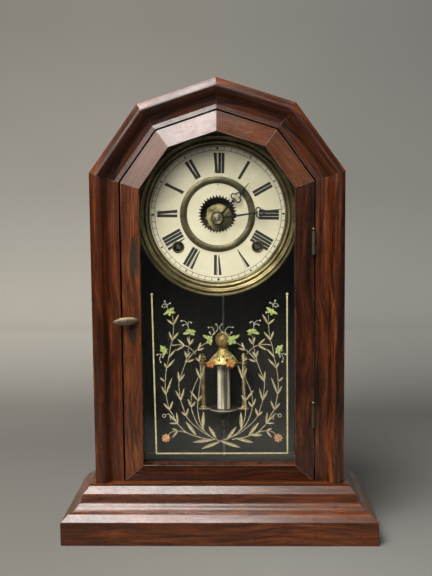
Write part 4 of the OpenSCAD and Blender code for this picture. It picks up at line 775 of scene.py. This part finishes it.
for hour, letters in enumerate(numerals):
    u = -0.5 * sum(letter_w[letter] for letter in letters) + (twelve_shift if hour == 0 else 0.0)
    for letter in letters:
        u += letter_w[letter] / 2
        for outline in glyph(letter, u):
            ink_outlines.append(round_dial(outline, math.radians(30 * hour + numeral_turn)))
        u += letter_w[letter] / 2
laid("dial_numerals", ink_outlines, dial_face - ink_t, ink_t, "case", ink)
track_outlines = []
for minute in range(60):
    turn = math.radians(6 * minute)
    step = math.radians(6)
    for r in (track_in, track_out):
        arc = [(r - track_w / 2, step * i / 4) for i in range(5)] + [(r + track_w / 2, step * i / 4)
            for i in range(4, -1, -1)]
        track_outlines.append([(dial_x + q * math.sin(turn + a), dial_z + q * math.cos(turn + a))
            for q, a in arc])
    if minute % 5:
        track_outlines.append(round_dial(bar(0, track_in, 0, track_out, tick_w, tick_w), turn))
    else:
        size = 1.35 if minute % 15 == 0 else 1.05
        middle = (track_in + track_out) / 2
        track_outlines.append(round_dial([(0, middle - size * 1.15), (size, middle),
            (0, middle + size * 1.15), (-size, middle)], turn))
track_outlines.append(disc(dial_x, pin_hole_z, pin_hole_r))
laid("minute_track", track_outlines, dial_face - ink_t, ink_t, "case", ink)

# Bezel, ring and grommets
# Spun brass: a stepped bezel round the dial, a raised ring inside the numerals and a grommet in each
# winding hole. It has gone olive brown, brighter where it was handled.
bezel_brass = brass("olive bezel brass", (0.10, 0.080, 0.037), (0.25, 0.21, 0.11), rough=0.36,
    scale=45.0, spots=0.35)
ring_brass = brass("dial ring brass", (0.034, 0.029, 0.014), (0.105, 0.092, 0.052), rough=0.42,
    scale=60.0, spots=0.3, clean=0.8)
grommet_brass = brass("grommet brass", (0.035, 0.028, 0.014), (0.10, 0.082, 0.042), rough=0.5,
    scale=200.0, spots=0.4)
dress("dial_bezel", bezel_brass)
dress("dial_ring", ring_brass)
dress("winding_grommets", grommet_brass)

# Hands
# Stamped steel hands, blackened, with an open trefoil near the tip of each, and a turned brass nut.
# The hour hand is a push fit on its wheel's pipe; the nut holds the minute hand.
hand_black = paint("blackened hands", (0.010, 0.010, 0.012), (0.030, 0.030, 0.034), scale=500.0,
    rough=0.32, metal=0.6)
for node in ("minute_hand", "hour_hand"):
    dress(node, hand_black)
dress("hand_nut", brass("hand nut brass", (0.10, 0.088, 0.055), (0.27, 0.245, 0.165), rough=0.36,
    scale=300.0, spots=0.5))

# Pendulum
# A steel wire rod with a brass ball and a pierced gilt cap over a glass jar that holds a silvered
# tube, between two turned posts, with a scalloped plate and a rating nut below.
rod_steel = brass("rod steel", (0.22, 0.24, 0.21), (0.42, 0.44, 0.39), rough=0.35, scale=200.0,
    spots=0.2)
gilt, add = finish("pierced gilt")
place = add("TexCoord").outputs["Object"]
cell = add("TexVoronoi", {"feature": "DISTANCE_TO_EDGE"}, Vector=place, Scale=560.0).outputs["Distance"]
cloud = add("TexNoise", Vector=place, Scale=400.0, Detail=5.0).outputs["Fac"]
colour = shades(add, cloud, (0.34, (0.58, 0.42, 0.12)), (0.66, (0.94, 0.76, 0.33)))
# Painted shade: the piercings are dark spots, the shade seen through the holes
colour = blended(add, spans(add, cell, 0.14, 0.26, 0.0, 0.85), colour, (0.10, 0.06, 0.018, 1))
bump = add("Bump", Strength=0.5, Distance=0.15 * mm, Height=cell).outputs[0]
shader = add("BsdfPrincipled", Base_Color=colour, Metallic=0.6, Roughness=0.42, Normal=bump).outputs[0]
add("OutputMaterial", Surface=shader)
ball_brass = brass("ball brass", (0.22, 0.145, 0.05), (0.46, 0.32, 0.12), rough=0.4, scale=200.0,
    spots=0.4, clean=0.45)
dim_brass = brass("dim pendulum brass", (0.15, 0.105, 0.04), (0.38, 0.28, 0.12), rough=0.38,
    scale=150.0, spots=0.4, clean=0.5)
silver, add = finish("silvered tube with painted reflection streaks")
drawn = add("Mapping", Vector=add("TexCoord").outputs["Object"], Location=(0.3, 0.1, 0),
    Scale=(1, 1, 0.02)).outputs[0]
# Painted reflections: pale and dark streaks run down the tube
streak = add("TexNoise", Vector=drawn, Scale=330.0, Detail=3.0).outputs["Fac"]
colour = shades(add, streak, (0.40, (0.07, 0.064, 0.052)), (0.5, (0.30, 0.27, 0.22)), (0.58,
    (0.86, 0.80, 0.70)))
bump = add("Bump", Strength=0.3, Distance=0.2 * mm, Height=streak).outputs[0]
shader = add("BsdfPrincipled", Base_Color=colour, Roughness=spans(add, streak, 0.3, 0.7, 0.4, 0.22),
    Metallic=0.35, Normal=bump).outputs[0]
add("OutputMaterial", Surface=shader)
dress("pendulum_rod", rod_steel)
dress("bob_ball", ball_brass)
dress("bob_cap", gilt)
dress("bob_jar", clear_glass("jar glass", (0.97, 0.965, 0.94), wave=0.05))
dress("bob_core", silver)
dress("bob_frame", dim_brass)
dress("rating_nut", brass("dark nut brass", (0.045, 0.032, 0.016), (0.12, 0.09, 0.05), rough=0.3,
    scale=150.0, clean=0.8))
foot_finish, add = finish("dark foot plate with a painted edge highlight")
place = add("TexCoord").outputs["Object"]
# Painted highlight: a pale line along the top of the plate's edge, where it catches the light
rim_low, rim_high = 104.4 * mm, 104.6 * mm
height = add("SeparateXYZ", Vector=place).outputs["Z"]
flat = add("SeparateXYZ", Vector=add("NewGeometry").outputs["Normal"]).outputs["Z"]
rim = reckon(add, "MULTIPLY", spans(add, height, rim_low, rim_high), spans(add, flat, 0.3, 0.6, 1.0, 0.0))
cloud = add("TexNoise", Vector=place, Scale=300.0, Detail=3.0).outputs["Fac"]
dark_plate = shades(add, cloud, (0.35, (0.018, 0.015, 0.012)), (0.65, (0.040, 0.034, 0.027)))
colour = blended(add, rim, dark_plate, (0.52, 0.43, 0.30, 1))
shader = add("BsdfPrincipled", Base_Color=colour, Metallic=0.3, Roughness=0.4).outputs[0]
add("OutputMaterial", Surface=shader)
dress("bob_foot_plate", foot_finish)

# Studio
# A seamless sheet that runs from the floor up far behind the clock, its grey painted with light and
# shade: paler where the lamps light the wall on the left and greyer away from them, with a painted
# shadow of the clock on the floor to the right, and black at its front edge. A large soft lamp
# hangs high on the left in front, with a small one overhead, a weak one low on the left and a weak
# one on the right, in an even dim room.

# Each grey is how far along the sheet it lies and how pale it is there: painted light on the left,
# painted shadow of the clock on the right
left_greys_painted_light = [(0.07, 0.0), (0.11, 0.122), (0.27, 0.108), (0.32, 0.143), (0.39, 0.272), (0.51, 0.475),
    (0.82, 0.24)]
right_greys_painted_shadow = [(0.07, 0.0), (0.11, 0.142), (0.2, 0.134), (0.31, 0.086), (0.39, 0.182), (0.51, 0.31),
    (0.82, 0.212)]
sheet_front, sheet_bend, sheet_top, sheet_side = -0.62, 1.3, 3.6, 3.5
bend_r = 0.36
sheet_points = [(sheet_front, 0.0), (sheet_bend, 0.0)]
for i in range(1, 13):
    a = math.radians(90 * i / 12)
    sheet_points.append((sheet_bend + bend_r * math.sin(a), bend_r * (1 - math.cos(a))))
sheet_points.append((sheet_bend + bend_r, sheet_top))
sheet = bmesh.new()
rows = [[sheet.verts.new((x, y, z)) for x in (-sheet_side, sheet_side)] for y, z in sheet_points]
for low, high in zip(rows, rows[1:]):
    sheet.faces.new((low[0], low[1], high[1], high[0]))
mesh = bpy.data.meshes.new("backdrop")
sheet.to_mesh(mesh)
sheet.free()
mesh.shade_smooth()
backdrop_light_and_shade, add = finish("backdrop grey with painted light and shade")
place = add("TexCoord").outputs["Object"]
apart = add("SeparateXYZ", Vector=place)
along = spans(add, reckon(add, "ADD", apart.outputs["Y"], apart.outputs["Z"]), -0.8, 3.2)
left_painted_light_grey = shades(add, along, *[(at, (v, v * 0.955, v * 0.86)) for at, v in left_greys_painted_light])
right_painted_shadow_grey = shades(add, along, *[(at, (v, v, v * 0.93)) for at, v in right_greys_painted_shadow])
# Painted light and shade: the left ramp is lit paler, the right holds the clock's painted shadow
colour = blended(add, spans(add, apart.outputs["X"], -0.3, 0.3), left_painted_light_grey, right_painted_shadow_grey)
cloud = add("TexNoise", Vector=place, Scale=2.5, Detail=3.0).outputs["Fac"]
colour = blended(add, 1.0, colour, shades(add, cloud, (0.3, (0.95, 0.95, 0.95)), (0.7, (1, 1, 1))),
    way="MULTIPLY")
bump = add("Bump", Strength=0.1, Distance=0.2 * mm,
    Height=add("TexNoise", Vector=place, Scale=900.0).outputs["Fac"]).outputs[0]
shader = add("BsdfPrincipled", Base_Color=colour, Roughness=0.9, Specular_IOR_Level=0.2,
    Normal=bump).outputs[0]
add("OutputMaterial", Surface=shader)
mesh.materials.append(backdrop_light_and_shade)
backdrop = bpy.data.objects.new("backdrop", mesh)
bpy.context.scene.collection.objects.link(backdrop)


def lamp(name, at, towards, width, height, power, colour):
    """A soft square lamp."""
    light = bpy.data.lights.new(name, "AREA")
    light.shape = "RECTANGLE"
    light.size = width
    light.size_y = height
    light.energy = power
    light.color = colour
    holder = bpy.data.objects.new(name, light)
    bpy.context.scene.collection.objects.link(holder)
    holder.location = at
    holder.rotation_euler = (Vector(towards) - Vector(at)).to_track_quat("-Z", "Y").to_euler()


lamp("key lamp", (-0.48, -0.95, 1.68), (0, 0, 0.2), 0.9, 1.4, 81.0, (1.0, 0.975, 0.94))
lamp("top lamp", (-0.55, -0.12, 1.55), (0, 0, 0.3), 0.6, 0.5, 9.0, (1.0, 0.975, 0.94))
lamp("side lamp", (-0.98, -1.40, 0.95), (0, 0, 0.35), 0.7, 0.5, 4.0, (1.0, 0.97, 0.93))
lamp("fill lamp", (1.6, -1.2, 0.9), (0, 0, 0.25), 1.0, 1.0, 3.0, (0.96, 0.98, 1.0))
world = bpy.data.worlds.new("room")
world.use_nodes = True
room = world.node_tree.nodes
room["Background"].inputs["Color"].default_value = (1.0, 0.98, 0.95, 1)
mirrored_room = room.new("ShaderNodeMapRange")
world.node_tree.links.new(room.new("ShaderNodeLightPath").outputs["Is Glossy Ray"],
    mirrored_room.inputs["Value"])
mirrored_room.inputs["To Min"].default_value = 0.12
mirrored_room.inputs["To Max"].default_value = 0.03
world.node_tree.links.new(mirrored_room.outputs["Result"], room["Background"].inputs["Strength"])
bpy.context.scene.world = world

# The camera stands a little above the dial's middle and looks slightly down
camera_at = (0.01975, -0.84317, 0.31968)
camera_left, camera_down, camera_roll = 0.026396, 0.100813, -0.0087455
camera_data = bpy.data.cameras.new("camera")
camera_data.lens = 54.125
camera_data.sensor_width = 36.0
camera = bpy.data.objects.new("camera", camera_data)
bpy.context.scene.collection.objects.link(camera)
camera.matrix_world = (Matrix.Translation(camera_at) @ Matrix.Rotation(camera_left, 4, "Z")
    @ Matrix.Rotation(math.pi / 2 - camera_down, 4, "X") @ Matrix.Rotation(camera_roll, 4, "Z"))
bpy.context.scene.camera = camera
bpy.context.scene.view_settings.view_transform = "Standard"
